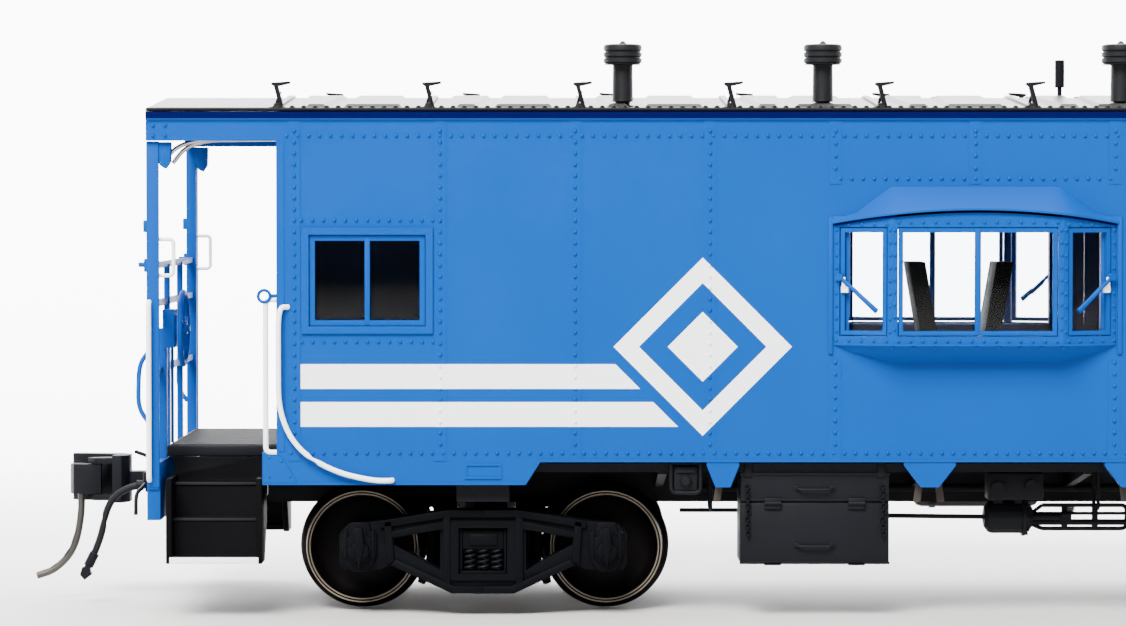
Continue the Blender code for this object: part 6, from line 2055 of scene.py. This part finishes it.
def dress_rest() -> None:
    """Finishes the inside, and the metal nodes that are kept as they are."""
    softened("interior", "cabin_fittings", INTERIOR, "root", 0.3)
    dress("ballast_weight", STEEL)
    for half in Half:
        for node in (f"kingpin_{half.value}", f"axle_{half.value}_outer", f"axle_{half.value}_inner"):
            dress(node, STEEL)


# Setting ---------------------------------------------------------------------------------------


@dataclass
class Studio:
    """Pale floor and backdrop in one sweep, soft lights and the camera. Sizes in metres."""

    camera_place: tuple[float, float, float] = (-0.0342, -0.3165, 0.0348)
    camera_pitch: float = -1.775
    lens: float = 115.6
    sweep_start: float = 0.16
    sweep_radius: float = 0.25
    width: float = 3.0

    def sweep(self) -> None:
        """The floor, which curves up behind the car into the backdrop."""
        profile = [(-1.2, 0.0), (self.sweep_start, 0.0)]
        for step in range(1, 17):
            angle = math.pi / 2 * step / 16
            profile.append(
                (
                    self.sweep_start + self.sweep_radius * math.sin(angle),
                    self.sweep_radius * (1 - math.cos(angle)),
                )
            )
        profile.append((self.sweep_start + self.sweep_radius, 1.6))
        made = bmesh.new()
        rows = []
        for x in (-self.width / 2, self.width / 2):
            rows.append([made.verts.new((x, y, z)) for y, z in profile])
        for index in range(len(profile) - 1):
            made.faces.new((rows[0][index], rows[1][index], rows[1][index + 1], rows[0][index + 1]))
        bmesh.ops.recalc_face_normals(made, faces=made.faces)
        data = bpy.data.meshes.new("studio_sweep")
        made.to_mesh(data)
        made.free()
        data.shade_smooth()
        obj = bpy.data.objects.new("studio_sweep", data)
        bpy.context.scene.collection.objects.link(obj)
        data.materials.append(PAPER.material())

    def light(self, name: str, place: Point, target: Point, size: float, power: float) -> None:
        """Adds one square soft box that points at a target."""
        data = bpy.data.lights.new(name, "AREA")
        data.size = size
        data.energy = power
        obj = bpy.data.objects.new(name, data)
        obj.location = place
        direction = Vector(target) - Vector(place)
        obj.rotation_euler = direction.to_track_quat("-Z", "Y").to_euler()
        bpy.context.scene.collection.objects.link(obj)

    def lights(self) -> None:
        """Soft boxes high in front and above, and a dim, even surround."""
        self.light("front_box", (-0.25, -0.62, 0.72), (-0.02, 0.0, 0.02), 0.45, 36.0)
        self.light("top_box", (0.05, 0.15, 0.85), (0.0, 0.05, 0.0), 0.7, 14.0)
        world = bpy.data.worlds.new("studio_surround")
        bpy.context.scene.world = world
        world.use_nodes = True
        background = world.node_tree.nodes["Background"]
        background.inputs["Color"].default_value = linear("#f4f6f8")
        background.inputs["Strength"].default_value = 0.2

    def camera(self) -> None:
        """The camera, level with the top of the windows and a little turned down."""
        data = bpy.data.cameras.new("camera")
        data.lens = self.lens
        data.sensor_width = 36.0
        data.clip_start = 0.01
        obj = bpy.data.objects.new("camera", data)
        obj.location = self.camera_place
        obj.rotation_euler = (math.radians(90 + self.camera_pitch), 0.0, 0.0)
        bpy.context.scene.collection.objects.link(obj)
        bpy.context.scene.camera = obj

    def build(self) -> None:
        """Sets the stage."""
        self.camera()
        self.sweep()
        self.lights()


def main() -> None:
    """Builds the whole scene, sub-assembly by sub-assembly."""
    logging.basicConfig(level=logging.INFO, format="%(name)s %(message)s")
    Studio().build()
    sizes = FrameSizes()
    rivets = Repeater("rivet_rows")
    links = LinkRepeater("chain_rows")
    House(sizes).build(rivets)
    SideWindow(sizes).build()
    BayWindow(sizes).build(rivets)
    Roof(sizes).build(rivets)
    EndFittings(sizes).build()
    Couplers(sizes).build()
    Trucks(sizes).build()
    UnderGear(sizes).build(links)
    dress_rest()


if __name__ == "__main__":
    main()
